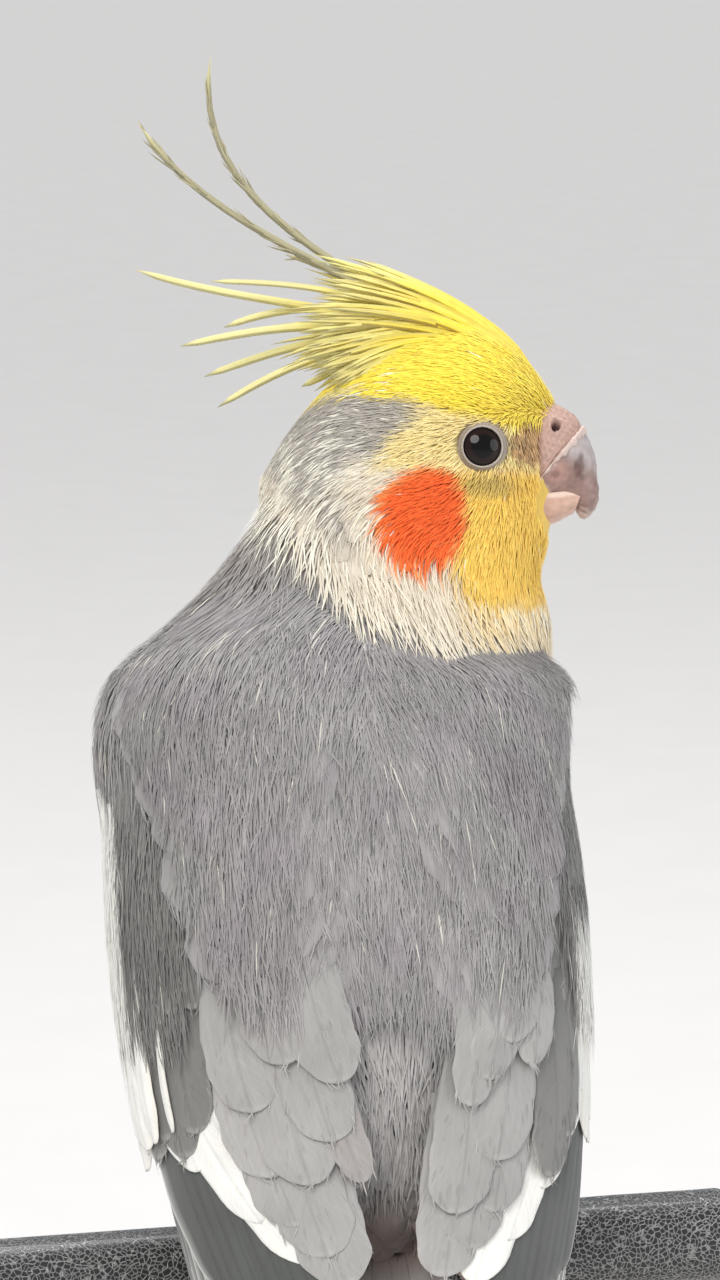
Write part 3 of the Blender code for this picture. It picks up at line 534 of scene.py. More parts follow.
def startMaterial(name, **sockets):
    made = bpy.data.materials.new(name)
    made.use_nodes = True
    shader = made.node_tree.nodes["Principled BSDF"]
    for key, value in sockets.items():
        shader.inputs[key].default_value = value
    return made, made.node_tree, shader


def feed(tree, shader, colour, rough, height, bump, deep):
    # colour, roughness and a bump of this strength and depth in metres
    lump = node(tree, "ShaderNodeBump", Strength=bump, Distance=deep, Height=height)
    for value, key in ((colour, "Base Color"), (rough, "Roughness"), (lump, "Normal")):
        join(tree, value, shader.inputs[key])


def newGroup(name, inputs, outputs):
    # a node group with named sockets: what it is given, and what it puts out
    group = bpy.data.node_groups.new(name, "ShaderNodeTree")
    for label, kind, value in inputs:
        socket = group.interface.new_socket(label, in_out="INPUT", socket_type=f"NodeSocket{kind}")
        if value is not None:
            socket.default_value = value
    for label, kind in outputs:
        group.interface.new_socket(label, in_out="OUTPUT", socket_type=f"NodeSocket{kind}")
    return group, group.nodes.new("NodeGroupInput").outputs, group.nodes.new("NodeGroupOutput").inputs


def layered(group, given, layers):
    # the sum of (texture - 0.5) * strength over the layers
    total = 0.0
    for source, strength in layers:
        total = maths(group, "MULTIPLY_ADD", maths(group, "SUBTRACT", source, 0.5), given[strength], total)
    return total


lookOutputs = (("Color", "Color"), ("Roughness", "Float"), ("Height", "Float"))


def buildBarbGroup():
    # fine barbs slant from the shaft towards the tip; long streaks and mottling change their brightness
    group, given, out = newGroup("barbs", (
        ("Tone", "Color", None), ("Vane", "Vector", None), ("Barbs per mm", "Float", 4.0),
        ("Barb strength", "Float", 0.2), ("Streak strength", "Float", 0.2), ("Shaft", "Float", 0.0),
        ("Mottle", "Float", 0.1),
    ), lookOutputs)
    split = node(group, "ShaderNodeSeparateXYZ", given["Vane"]).outputs
    reach = maths(group, "ABSOLUTE", split["X"])
    slant = maths(group, "MULTIPLY_ADD", reach, -1.5, split["Y"])
    across = maths(group, "MULTIPLY", split["X"], 0.5)
    along = maths(group, "MULTIPLY", slant, given["Barbs per mm"])
    barbPlace = node(group, "ShaderNodeCombineXYZ", across, along, split["Z"])
    barbs = node(group, "ShaderNodeTexNoise", barbPlace, Scale=1.0, Detail=3.0, Roughness=0.6)
    streakPlace = node(group, "ShaderNodeVectorMath", given["Vane"], (2.2, 0.22, 1.0), operation="MULTIPLY")
    streaks = node(group, "ShaderNodeTexNoise", streakPlace, Scale=1.0, Detail=4.0, Roughness=0.55)
    blotch = node(group, "ShaderNodeTexNoise", given["Vane"], Scale=0.12, Detail=2.0)
    total = layered(group, given, ((barbs, "Barb strength"), (streaks, "Streak strength"),
                                   (blotch, "Mottle")))
    shaft = node(group, "ShaderNodeMapRange", reach,
                 **{"From Min": 0.12, "From Max": 0.3, "To Min": 1.0, "To Max": 0.0})
    gain = maths(group, "SUBTRACT", maths(group, "ADD", total, 1.0),
                 maths(group, "MULTIPLY", shaft, given["Shaft"]))
    join(group, node(group, "ShaderNodeVectorMath", given["Tone"], operation="SCALE", Scale=gain),
         out["Color"])
    join(group, node(group, "ShaderNodeMapRange", streaks, **{"To Min": 0.62, "To Max": 0.9}),
         out["Roughness"])
    join(group, maths(group, "ADD", barbs, streaks), out["Height"])
    return group


def buildGrainGroup():
    # fine and broad noise and cell edges change a tone's brightness, its gloss and the bump's height
    group, given, out = newGroup("grain", (
        ("Tone", "Color", None), ("Place", "Vector", None), ("Fine scale", "Float", 2000.0),
        ("Broad scale", "Float", 300.0), ("Cell scale", "Float", 900.0), ("Fine", "Float", 0.2),
        ("Broad", "Float", 0.2), ("Cells", "Float", 0.0), ("Rough low", "Float", 0.3),
        ("Rough high", "Float", 0.6),
    ), lookOutputs)
    place = given["Place"]
    fine = node(group, "ShaderNodeTexNoise", place, Scale=given["Fine scale"], Detail=4.0, Roughness=0.6)
    broad = node(group, "ShaderNodeTexNoise", place, Scale=given["Broad scale"], Detail=3.0, Roughness=0.5)
    cells = node(group, "ShaderNodeTexVoronoi", place, feature="DISTANCE_TO_EDGE", Scale=given["Cell scale"])
    edge = node(group, "ShaderNodeMapRange", cells.outputs["Distance"], **{"From Max": 0.16})
    total = layered(group, given, ((fine, "Fine"), (broad, "Broad"), (edge, "Cells")))
    gain = maths(group, "ADD", total, 1.0)
    join(group, node(group, "ShaderNodeVectorMath", given["Tone"], operation="SCALE", Scale=gain),
         out["Color"])
    join(group, node(group, "ShaderNodeMapRange", broad,
                     **{"To Min": given["Rough low"], "To Max": given["Rough high"]}), out["Roughness"])
    join(group, total, out["Height"])
    return group


barbGroup, grainGroup = buildBarbGroup(), buildGrainGroup()


def plumage(name, barb=0.25, streak=0.3, mottle=0.1, shaft=0.0, perMm=4.0, bump=0.3):
    # a matt feather finish that reads each piece's own tone and place on the vane
    made, tree, shader = startMaterial(name, **{"Specular IOR Level": 0.25, "Sheen Weight": 0.25,
                                                "Sheen Roughness": 0.6})
    tone = node(tree, "ShaderNodeAttribute", attribute_name="tone")
    vane = node(tree, "ShaderNodeAttribute", attribute_name="vane")
    look = node(tree, "ShaderNodeGroup", node_tree=barbGroup, **{
        "Tone": tone.outputs["Color"], "Vane": vane.outputs["Vector"], "Barbs per mm": perMm,
        "Barb strength": barb, "Streak strength": streak, "Mottle": mottle, "Shaft": shaft,
    }).outputs
    feed(tree, shader, look["Color"], look["Roughness"], look["Height"], bump, 0.00012)
    return made


softFeather = plumage("softPlumage", barb=0.2, streak=0.35, mottle=0.15)
hairFeather = plumage("hairPlumage", barb=0.0, streak=0.25, mottle=0.1, bump=0.1)
stiffFeather = plumage("flightPlumage", barb=0.35, streak=0.3, mottle=0.25, shaft=0.12, perMm=5.0, bump=0.4)


def grained(name, bump, deep, look, stretch=(1, 1, 1), colour=None, **sockets):
    # a finish on Object coordinates; its tone is the piece's own attribute, or one colour
    made, tree, shader = startMaterial(name, **sockets)
    place = node(tree, "ShaderNodeMapping", node(tree, "ShaderNodeTexCoord").outputs["Object"], Scale=stretch)
    if colour is None:
        tone = node(tree, "ShaderNodeAttribute", attribute_name="tone").outputs["Color"]
    else:
        tone = (*colour, 1)
    grain = node(tree, "ShaderNodeGroup", node_tree=grainGroup, Place=place, Tone=tone, **look).outputs
    feed(tree, shader, grain["Color"], grain["Roughness"], grain["Height"], bump, deep)
    return made


hornFinish = grained("hornFinish", 0.35, 0.00008, {
    "Fine scale": 2600.0, "Broad scale": 700.0, "Fine": 0.28, "Broad": 0.25,
    "Rough low": 0.28, "Rough high": 0.5,
}, (1, 1, 2.5), **{"Coat Weight": 0.15})
cereFinish = grained("cereFinish", 0.5, 0.00012, {
    "Fine scale": 2200.0, "Broad scale": 500.0, "Cell scale": 1500.0, "Cells": 0.12,
    "Rough low": 0.5, "Rough high": 0.75,
})
lidFinish = grained("lidFinish", 0.5, 0.0001, {
    "Fine scale": 2600.0, "Cell scale": 2400.0, "Broad": 0.15, "Cells": 0.18,
    "Rough low": 0.45, "Rough high": 0.7,
})
eyeFinish = grained("eyeFinish", 0.0, 0.00001, {
    "Fine scale": 1500.0, "Fine": 0.3, "Broad": 0.1, "Rough low": 0.03, "Rough high": 0.06,
}, **{"Coat Weight": 0.12, "Coat Roughness": 0.02, "Specular IOR Level": 0.2})
footFinish = grained("footFinish", 0.6, 0.00025, {
    "Fine scale": 1800.0, "Broad scale": 250.0, "Cell scale": 1100.0, "Fine": 0.15, "Cells": 0.35,
    "Rough low": 0.5, "Rough high": 0.72,
})
clawFinish = grained("clawFinish", 0.2, 0.00005, {
    "Fine scale": 2400.0, "Broad scale": 500.0, "Fine": 0.3, "Broad": 0.3,
    "Rough low": 0.25, "Rough high": 0.45,
}, **{"Coat Weight": 0.2})
steelFinish = grained("steelFinish", 0.15, 0.00003, {
    "Fine scale": 3000.0, "Broad scale": 400.0, "Fine": 0.22, "Broad": 0.1,
    "Rough low": 0.22, "Rough high": 0.38,
}, (1, 1, 0.02), (0.56, 0.56, 0.57), Metallic=1.0)


def makeWood():
    # rings of a slab bent by noise, long pores along the grain, under a satin varnish
    made, tree, shader = startMaterial("woodFinish", **{"Coat Weight": 0.35, "Coat Roughness": 0.22})
    place = node(tree, "ShaderNodeTexCoord").outputs["Object"]
    turned = node(tree, "ShaderNodeMapping", place, Scale=(2.6, 26.0, 26.0), Location=(0.04, 0.7, 1.3))
    rings = node(tree, "ShaderNodeTexWave", turned, wave_type="RINGS", rings_direction="X",
                 **{"Scale": 1.5, "Distortion": 5.0, "Detail": 3.0, "Detail Scale": 1.2})
    long = node(tree, "ShaderNodeMapping", place, Scale=(40.0, 1500.0, 1500.0))
    pores = node(tree, "ShaderNodeTexNoise", long, Scale=1.0, Detail=3.0, Roughness=0.65)
    tint = node(tree, "ShaderNodeValToRGB", rings)
    tint.color_ramp.elements[0].color = (0.135, 0.062, 0.028, 1)
    tint.color_ramp.elements[1].color = (0.29, 0.15, 0.07, 1)
    shade = node(tree, "ShaderNodeMapRange", pores,
                 **{"From Min": 0.35, "From Max": 0.65, "To Min": 0.72, "To Max": 1.08})
    colour = node(tree, "ShaderNodeVectorMath", tint, operation="SCALE", Scale=shade)
    rough = node(tree, "ShaderNodeMapRange", pores, **{"To Min": 0.42, "To Max": 0.6})
    feed(tree, shader, colour, rough, pores, 0.2, 0.0001)
    return made


def makeBarPaint():
    # black powder coat with raised silver veins between uneven cells
    made, tree, shader = startMaterial("barFinish", **{"Coat Weight": 0.2})
    place = node(tree, "ShaderNodeTexCoord").outputs["Object"]
    drift = node(tree, "ShaderNodeTexNoise", place, Scale=350.0, Detail=3.0)
    bent = node(tree, "ShaderNodeVectorMath", drift.outputs["Color"], (0.0013, 0.0013, 0.0013), place,
                operation="MULTIPLY_ADD")
    cells = node(tree, "ShaderNodeTexVoronoi", bent, feature="DISTANCE_TO_EDGE", Scale=1400.0)
    vein = node(tree, "ShaderNodeMapRange", cells.outputs["Distance"],
                **{"From Min": 0.02, "From Max": 0.13, "To Min": 1.0, "To Max": 0.0})
    tint = node(tree, "ShaderNodeMix", data_type="RGBA", Factor=vein, A=(0.012, 0.012, 0.012, 1),
                B=(0.3, 0.3, 0.295, 1))
    join(tree, maths(tree, "MULTIPLY", vein, 0.75), shader.inputs["Metallic"])
    rough = node(tree, "ShaderNodeMapRange", drift, **{"To Min": 0.38, "To Max": 0.5})
    feed(tree, shader, tint.outputs["Result"], rough, vein, 0.5, 0.0002)
    return made


woodFinish, barFinish = makeWood(), makeBarPaint()
print("shapes and materials ready")

# skin

skinLook = {"depth": 2.0, "headDepth": 1.3, "voxel": 1.1}


def skinDepth(p):
    # how far the skin lies under the envelope, shallower where the head is nearer than the trunk
    near = ramp(trunkDistance(p) - headDistance(p), -2, 4)
    return skinLook["depth"] + (skinLook["headDepth"] - skinLook["depth"]) * near


def closedLoft(rings):
    # quads between the rings, and a fan of triangles to the middle of each end
    rings = np.asarray(rings)
    count, around = rings.shape[:2]
    i, j = np.meshgrid(np.arange(count - 1), np.arange(around), indexing="ij")
    k = (j + 1) % around
    quads = np.stack([i * around + j, i * around + k, (i + 1) * around + k, (i + 1) * around + j], axis=-1)
    points = np.vstack([rings.reshape(-1, 3), rings[0].mean(axis=0), rings[-1].mean(axis=0)])
    j = np.arange(around)
    k = (j + 1) % around
    first = np.stack([np.full(around, count * around), k, j], axis=-1)
    end = (count - 1) * around
    last = np.stack([np.full(around, count * around + 1), end + j, end + k], axis=-1)
    return points, [quads.reshape(-1, 4), np.concatenate([first, last])]


def makeSkin():
    # trunk and head lofts, fused by a voxel remesh, then every point drawn to its depth under the envelope
    s, a = np.meshgrid(np.linspace(-42.9, 69, 60), np.linspace(0, 2 * pi, 72, endpoint=False), indexing="ij")
    along = -21.3 + 41.9 * (1 - np.cos(np.linspace(0.05, pi - 0.05, 40))) / 2
    x, b = np.meshgrid(along, np.linspace(0, 2 * pi, 60, endpoint=False), indexing="ij")
    shells = []
    for rings in (bodyWorld(hullPoint(trunkTable, s, a)), headWorld(headPoint(x, b))):
        points, faces = closedLoft(rings)
        mesh = bpy.data.meshes.new("shell")
        listed = [face for corners in faces for face in corners.tolist()]
        mesh.from_pydata((points * 0.001).tolist(), [], listed)
        shell = bpy.data.objects.new("shell", mesh)
        scene.collection.objects.link(shell)
        shells.append(shell)
    with bpy.context.temp_override(active_object=shells[0], selected_editable_objects=shells,
                                   selected_objects=shells, object=shells[0]):
        bpy.ops.object.join()
    shell = shells[0]
    remesh = shell.modifiers.new("fuse", "REMESH")
    remesh.mode = "VOXEL"
    remesh.voxel_size = skinLook["voxel"] * 0.001
    graph = bpy.context.evaluated_depsgraph_get()
    fused = bpy.data.meshes.new_from_object(shell.evaluated_get(graph))
    bpy.data.objects.remove(shell)
    points = np.empty(len(fused.vertices) * 3, np.float32)
    fused.vertices.foreach_get("co", points)
    quads = np.empty(len(fused.loops), np.int32)
    fused.loops.foreach_get("vertex_index", quads)
    bpy.data.meshes.remove(fused)
    points = points.reshape(-1, 3).astype(float) * 1000
    points = ontoFlesh(points, 4, skinDepth(points))
    vane = np.concatenate([points[:, :2], points[:, 2:] * 0.4], axis=1)
    # the skin takes the coat's tone darkened by a fifth, as painted shade under the coat
    return layPiece("skin", points, [quads.reshape(-1, 4)], softFeather,
                    ("torso", "neck", "head"), coatTone(points) * 0.8, vane)


makeSkin()
print("skin done")

# coat of head, neck and body

coat = {
    "vaneCount": 2000, "vaneLength": (10.0, 14.0), "vaneHalf": (3.0, 4.4),
    "bodyStrands": 28500, "bodyLength": (4.5, 8.5), "bodyHalf": (0.08, 0.17),
    "headStrands": 27000, "headLength": (2.2, 4.0), "headHalf": (0.07, 0.14),
    "fringeStrands": 5200, "fringeLength": (4.5, 8.0), "fringeHalf": (0.12, 0.24),
    "perPiece": 11875,  # strands of 16 triangles
    "deep": 0.035, "hindPole": -22.4,
}


def spreadOver(low, high, n):
    # pairs that fill the span evenly, from multiples of two irrational steps
    step = (0.7548776662466927, 0.5698402909980532)
    return [low[i] + (high[i] - low[i]) * ((0.5 + n * step[i]) % 1) for i in (0, 1)]


def evenSpread(surface, count, low, high):
    # an even sequence over the surface's two parameters, thinned where its area is small
    u, v = spreadOver(low, high, np.arange(count))
    area = np.linalg.norm(np.cross(surface(u + 0.1, v) - surface(u - 0.1, v),
                                   surface(u, v + 0.01) - surface(u, v - 0.01)), axis=-1)
    keep = rng.random(count) < area / np.percentile(area, 97)
    return surface(u[keep], v[keep])


def trunkSurface(s, a):
    return bodyWorld(hullPoint(trunkTable, s, a))


def headSurface(x, b):
    return headWorld(headPoint(x, b))


def coatRoots(count, share):
    # roots over trunk and head, without those buried in the other form
    roots = []
    if share < 1:
        onTrunk = evenSpread(trunkSurface, int(count * (1 - share) * 1.5), (-43, 0), (66, 2 * pi))
        roots.append(onTrunk[headDistance(onTrunk) > -1.0])
    if share > 0:
        onHead = evenSpread(headSurface, int(count * share * 2.2), (-21.5, 0), (20.8, 2 * pi))
        roots.append(onHead[trunkDistance(onHead) > -1.0])
    return ontoFlesh(np.concatenate(roots))


def layOfCoat(p):
    # on the head away from the bill, level on the crown and ear, ever steeper towards the throat;
    # on the body down the axis, parting from the spine and closing again over the rump
    t, y, u = np.moveaxis(headLocal(p), -1, 0)
    angle = np.arctan2(6 - u, np.maximum(16 - t, 2.0))
    angle -= 0.42 * ramp(np.hypot((t - 0.7) / 7.5, (u + 9.5) / 7.5), 1.3, 0.4)
    angle = np.maximum(angle, -0.05) + 0.3 * ramp(t, -8, -20)
    headLay = np.stack([-np.cos(angle), 0.08 * np.sign(y) * ramp(u, 4, -8), -np.sin(angle)],
                       axis=-1) @ headTurn.T
    x, y, s = np.moveaxis(bodyLocal(p), -1, 0)
    splay = 0.3 * np.tanh(x / 10) * ramp(s, 8, 40) - 0.14 * np.tanh(x / 12) * ramp(s, 2, -20)
    swirl = 0.1 * cloud(p, 22.0, 31)
    bodyLay = unit(np.stack([splay + swirl, 0 * s, -1 + 0 * s], axis=-1)) @ bodyTurn.T
    onHead = ramp(u, -40, -24) * ramp(trunkDistance(p) - headDistance(p), -9, 1)
    return unit(mixed(bodyLay, unit(headLay), onHead))


def walkPaths(roots, length, stations, wander):
    # each path walks over the envelope in equal steps along the lie, turned by its own small angle
    p, path, normals = roots, [], []
    for i in range(stations):
        normal = unit(fleshSlope(p))
        path.append(p)
        normals.append(normal)
        lay = layOfCoat(p)
        lay = unit(lay - normal * dot(lay, normal))
        lay = lay * np.cos(wander)[:, None] + np.cross(normal, lay) * np.sin(wander)[:, None]
        p = ontoFlesh(p + lay * (length / (stations - 1))[:, None], 1)
        # the head's hind pole is flattened, where the envelope comes to a point
        local = headLocal(p)
        clamped = np.maximum(local[:, 0], coat["hindPole"])
        local[:, 0] = np.where(headDistance(p) < trunkDistance(p), clamped, local[:, 0])
        p = headWorld(local)
    return np.stack(path, axis=1), np.stack(normals, axis=1)


def clearOfFace(p):
    # no tufts over bill, cere and the bare rings of the eyes
    t, y, u = np.moveaxis(headLocal(p), -1, 0)
    aside = np.hypot(t - faceLook["eyeClear"][0], u - faceLook["eyeClear"][1])
    eye = (aside < faceLook["eyeRadius"]) & (np.abs(y) > 6)
    bill = (t > 16.7) & (oval(t, u, faceLook["billClear"]) < 1) & (np.abs(y) < 6.5)
    return ~(eye | bill)


def backAngle(x, y):
    # degrees from the middle of the back
    return np.degrees(np.arctan2(np.abs(x), -y))


def rumpHeight(s, a):
    # how far the soft rump stands over the flesh between the wings
    return 2.4 * ramp(s, -9, -16) * ramp(s, -44, -30) * ramp(a, 60, 30)


def contourVanes():
    # broad soft feathers, three points across, that hide the skin
    roots = coatRoots(coat["vaneCount"], 0.28)
    inside = (headLocal(roots)[:, 0] > -20) | (trunkDistance(roots) < headDistance(roots) - 2)
    roots = roots[clearOfFace(roots) & inside]
    count = len(roots)
    x, y, s = np.moveaxis(bodyLocal(roots), -1, 0)
    rump = rumpHeight(s, backAngle(x, y))
    onHead = ramp(trunkDistance(roots) - headDistance(roots), -2, 3)
    length = rng.uniform(*coat["vaneLength"], count) * (1 - 0.5 * onHead)
    half = rng.uniform(*coat["vaneHalf"], count) * (1 - 0.5 * onHead)
    shape = np.array([0.5, 0.85, 1.0, 0.95, 0.7, 0.2])
    t = np.linspace(0, 1, len(shape))
    path, normal = walkPaths(roots, length, len(shape), rng.normal(0, 0.08, count))
    depth = 1.7 - 0.6 * onHead
    rise = depth - 0.55 * onHead + rng.uniform(-0.25, 0.1, count) + 0.85 * rump
    height = -depth[:, None] + rise[:, None] * t**0.8
    side = unit(np.cross(np.gradient(path, axis=1), normal))
    reach = (half[:, None] * shape)[..., None] * np.array([-1.0, 0.0, 1.0])
    centre = (path + normal * height[..., None])[:, :, None]
    sag = reach**2 / 52 + 0.05 * np.abs(reach)
    top = centre + side[:, :, None] * reach[..., None] - normal[:, :, None] * sag[..., None]
    points, faces = vaneMesh(top, top - normal[:, :, None] * 0.22)
    tone = coatTone(points) * (1 + 0.05 * rng.normal(size=(count, 1, 1)))
    grid = np.stack(np.broadcast_arrays(reach, (t * length[:, None])[..., None],
                                        (rng.random(count) * 90)[:, None, None]), axis=-1)
    grid = grid.reshape(count, -1, 3)
    vane = np.concatenate([grid, grid], axis=1)
    batch = Batch()
    batch.add(points, faces, tone, vane, bakePlace(roots)[:, None] + vane[..., :2] * 0.0003)
    batch.lay("contourFeathers", softFeather, "feathers")


def strandPieces(name, slot, roots, lengths, halves, low, high, tones, wander=0.16):
    # hair-like barbs over the envelope, from one height at the root to another at the tip, in even pieces
    for i in range(0, len(roots), coat["perPiece"]):
        part = slice(i, i + coat["perPiece"])
        root, length = roots[part], lengths[part]
        path, normal = walkPaths(root, length, 4, rng.normal(0, wander, len(root)))
        height = low[part, None] + (high - low)[part, None] * np.linspace(0, 1, 4) ** 0.75
        batch = Batch()
        addStrands(batch, root, path + normal * height[..., None], normal, halves[part], coat["deep"],
                   tones[part], length, (0.95, 0.08))
        batch.lay(f"{name}{i // coat['perPiece'] + 1}", hairFeather, slot, smooth=False)


def strandTone(root, spread, reach):
    # the coat's tone this far along, a random brightness for each strand, and whitish ones by their chance
    p = root + layOfCoat(root) * reach[:, None]
    local = headLocal(p)
    bristle = ramp(oval(local[:, 0], local[:, 2], faceLook["bristle"]), 1.3, 0.7)
    tone = coatTone(p) * (1 + (spread + 0.14 * bristle) * rng.normal(size=len(root)))[:, None]
    return mixed(tone, markings["napeStreak"], 0.9 * (rng.random(len(root)) < paleChance(p)))


def faceFree(p):
    # 1 away from the head's fringe, 0 under it
    return ramp(overFringe(headLocal(p)), 1.0, -8.0)


def capeHeight(s, a):
    # how far the cape stands over the hull: low along the spine, high over the wings, closing at the shoulder
    return 0.2 + 1.5 * ramp(s, 50, 34) + 2.4 * ramp(a, 0, 38) * ramp(s, 46, 30)


def bodyCoat():
    # long loose barbs on neck, breast and rump; the cape covers the back between them
    roots = coatRoots(coat["bodyStrands"], 0.0)
    x, y, s = np.moveaxis(bodyLocal(roots), -1, 0)
    offCape = (s > 23 + 10 * rng.random(len(s))) | (s < -9) | (backAngle(x, y) > 100)
    roots = roots[clearOfFace(roots) & (headDistance(roots) > trunkDistance(roots) - 1) & offCape]
    count = len(roots)
    x, y, s = np.moveaxis(bodyLocal(roots), -1, 0)
    a = backAngle(x, y)
    rump = rumpHeight(s, a)
    lengths = rng.uniform(*coat["bodyLength"], count)
    back = ramp(a, 110, 85) * (s > 0) * (0.1 + 0.9 * faceFree(roots)) * (1 - 0.3 * ramp(a, 48, 68))
    low = back * capeHeight(s, a) + rump - 0.8
    high = back * (capeHeight(s - lengths * 0.9, a) + 0.35) + rump + rng.uniform(-0.1, 0.3, count)
    # those that start above the fringe line hang over it with whitish ends
    above = overFringe(headLocal(roots))
    fringe = ramp(above, 0.2, 1.0) * ramp(above, 8, 4) * (headDistance(roots) < 12)
    high = high + 0.8 * fringe
    lengths = lengths * (1 + 0.25 * fringe)
    tones = strandTone(roots, 0.07, lengths * (0.6 - 0.55 * fringe))
    tones = mixed(tones, markings["napeStreak"], 0.75 * fringe * rng.random(count) * ramp(above, 6, 2))
    halves = rng.uniform(*coat["bodyHalf"], count) * (1 + 0.6 * (rump > 0.4))
    strandPieces("bodyBarbs", "feathers", roots, lengths, halves, low, high, tones)


def headCoat():
    # short on the face, longer over cheek, crown and nape, shortest round the eye
    roots = coatRoots(coat["headStrands"], 1.0)
    roots = roots[clearOfFace(roots) & (headLocal(roots)[:, 0] > -20.5)]
    count = len(roots)
    t, y, u = np.moveaxis(headLocal(roots), -1, 0)
    grow = 1 + 1.0 * ramp(u, -8, -20) + 0.9 * ramp(t, 0, -14) - 0.25 * ramp(t, 9, 16)
    grow = grow - 0.35 * ramp(np.hypot(t - 9.1, u - 0.2), 7.0, 4.0) + 1.1 * ramp(u, 6, 10)
    lengths = rng.uniform(*coat["headLength"], count) * grow
    halves = rng.uniform(*coat["headHalf"], count) * (0.6 + 0.4 * grow)
    high = rng.uniform(-0.05, 0.3, count) + 0.3 * ramp(t, 12, 15) * ramp(np.abs(u), 5, 3)
    tones = strandTone(roots, 0.06, 0.6 * lengths)
    strandPieces("headBarbs", "yellow_feathers", roots, lengths, halves, np.full(count, -0.7), high, tones)


def fringeCoat():
    # the pale ends that hang over the neck
    roots = ontoFlesh(evenSpread(headSurface, coat["fringeStrands"], (-21, 0.3), (20, 2 * pi - 0.3)))
    above = overFringe(headLocal(roots))
    roots = roots[(above < 6.5) & (above > -1) & (trunkDistance(roots) > -3) & (headLocal(roots)[:, 0] > -10)]
    count = len(roots)
    lengths, halves = rng.uniform(*coat["fringeLength"], count), rng.uniform(*coat["fringeHalf"], count)
    high = rng.uniform(0.2, 0.9, count)
    tones = mixed(coatTone(roots), markings["napeStreak"], rng.uniform(0.3, 0.9, count))
    low = np.full(count, -0.3)
    strandPieces("fringeBarbs", "yellow_feathers", roots, lengths, halves, low, high, tones, 0.22)


contourVanes()
bodyCoat()
headCoat()
fringeCoat()
print("coat done")

# bill and cere

billLook = {
    # forward, up, direction, half depth, half width, along the centre line from the head to the tip
    "upper": ((15.5, 0.2, 2, 6.4, 5.2), (18.2, 0.1, -2, 6.6, 5.2), (20.4, -0.9, -16, 6.3, 4.8),
              (21.9, -3, -38, 5.4, 4.2), (23, -5.3, -66, 3.6, 3.2), (24.3, -7.2, -84, 2.2, 2.3),
              (24.4, -8.8, -97, 1.3, 1.4), (24.2, -9.9, -104, 0.35, 0.4)),
    "lower": ((14.5, -8.2, 0, 2.7, 4.4), (18, -8.2, 2, 2.6, 4.3), (20.6, -8.0, 8, 2.5, 3.9),
              (23.5, -7.5, 20, 1.7, 2.7)),
    "edgeTop": (23.8, 2.9), "edgeLow": (17.2, -4.6),  # the cere's edge in the side view
    "nostril": (20.1, 3.1), "nostrilReach": 0.72, "nostrilDepth": 1.3, "swell": 0.45,
    "around": 96, "rows": 70, "tip": 6.98,
}
horn = {
    "base": paint(146, 118, 110), "top": paint(176, 166, 164), "brown": paint(86, 56, 48),
    "pink": paint(172, 134, 124), "flake": paint(214, 196, 188), "cere": paint(192, 158, 144),
    # inside: painted shade in the nostrils
    "inside": paint(74, 44, 44), "lower": paint(206, 168, 150), "rim": paint(232, 208, 192),
    # painted shade for the gap between the bills
    "billGapShade": paint(58, 32, 32),
}


def stationed(rows):
    # the rows as a table, numbered along the centre line
    return np.column_stack([np.arange(len(rows)), np.array(rows, float)])


def billPoint(table, v, a, grow=0.0):
    # section round the centre line: up*depth*cos(a) + sideways*width*sin(a), squared off and hollow below
    x, z, turn, deep, wide = between(table, v)
    turn = np.radians(turn)
    low = ramp(-np.cos(a), 0.05, 0.75)
    side = np.sign(np.sin(a)) * np.abs(np.sin(a)) ** (1 - 0.5 * low)
    up = np.sign(np.cos(a)) * np.abs(np.cos(a)) ** (1 - 0.35 * low)
    up = up + 0.12 * low * (1 - side**2) * ramp(v, 5.0, 3.5)
    return np.stack([x - up * (deep + grow) * np.sin(turn), side * (wide + grow),
                     z + up * (deep + grow) * np.cos(turn)], axis=-1)


def cereSide(p):
    # distance in front of the cere's slanting edge, in the side view
    top, low = np.array(billLook["edgeTop"]), np.array(billLook["edgeLow"])
    run = (top - low) / np.hypot(*(top - low))
    return (p[..., 0] - low[0]) * run[1] - (p[..., 2] - low[1]) * run[0]


def edgePlace(table, a):
    # the place along the centre line where the surface crosses the cere's edge, for each angle
    v = np.linspace(0, 5, 400)[:, None]
    return v[np.argmax(cereSide(billPoint(table, v, a[None])) > 0, axis=0), 0]


def blot(p, *place):
    # a soft spot with an uneven edge
    return ramp(oval(p[..., 0], p[..., 2], place) + 0.25 * cloud(p, 1.6, 41), 1.3, 0.5)


def hornTone(p, v):
    # greyer towards the ridge, with pink and brown spots; flaking along the cere and at the tip
    grain = 0.5 + 0.5 * cloud(p * [1, 1.6, 1], 1.3, 42)
    tone = np.broadcast_to(horn["base"], p.shape)
    tone = mixed(tone, horn["top"], ramp(p[..., 2] + 0.5 * p[..., 0], 8.2, 11.6))
    tone = mixed(tone, horn["pink"], 0.8 * blot(p, 20.2, -3.4, 1.9, 2.0))
    tone = mixed(tone, horn["brown"], 0.5 * blot(p, 20.0, -3.6, 0.7, 0.6))
    tone = mixed(tone, horn["brown"], 0.85 * blot(p, 23.6, -2.4, 0.8, 1.9))
    tone = mixed(tone, horn["flake"], 0.5 * ramp(v + 0.7 * grain, 5.7, 6.6))
    tone = mixed(tone, horn["flake"], 0.5 * ramp(np.abs(cereSide(p) - 0.2), 0.9, 0.1) * grain)
    return tone * (0.86 + 0.26 * grain)[..., None]


def ringFaces(rows, columns):
    # quads of a grid that closes both ways
    i, j = np.meshgrid(np.arange(rows), np.arange(columns), indexing="ij")
    k, m = (i + 1) % rows, (j + 1) % columns
    return np.stack([i * columns + j, i * columns + m, k * columns + m, k * columns + j],
                    axis=-1).reshape(-1, 4)


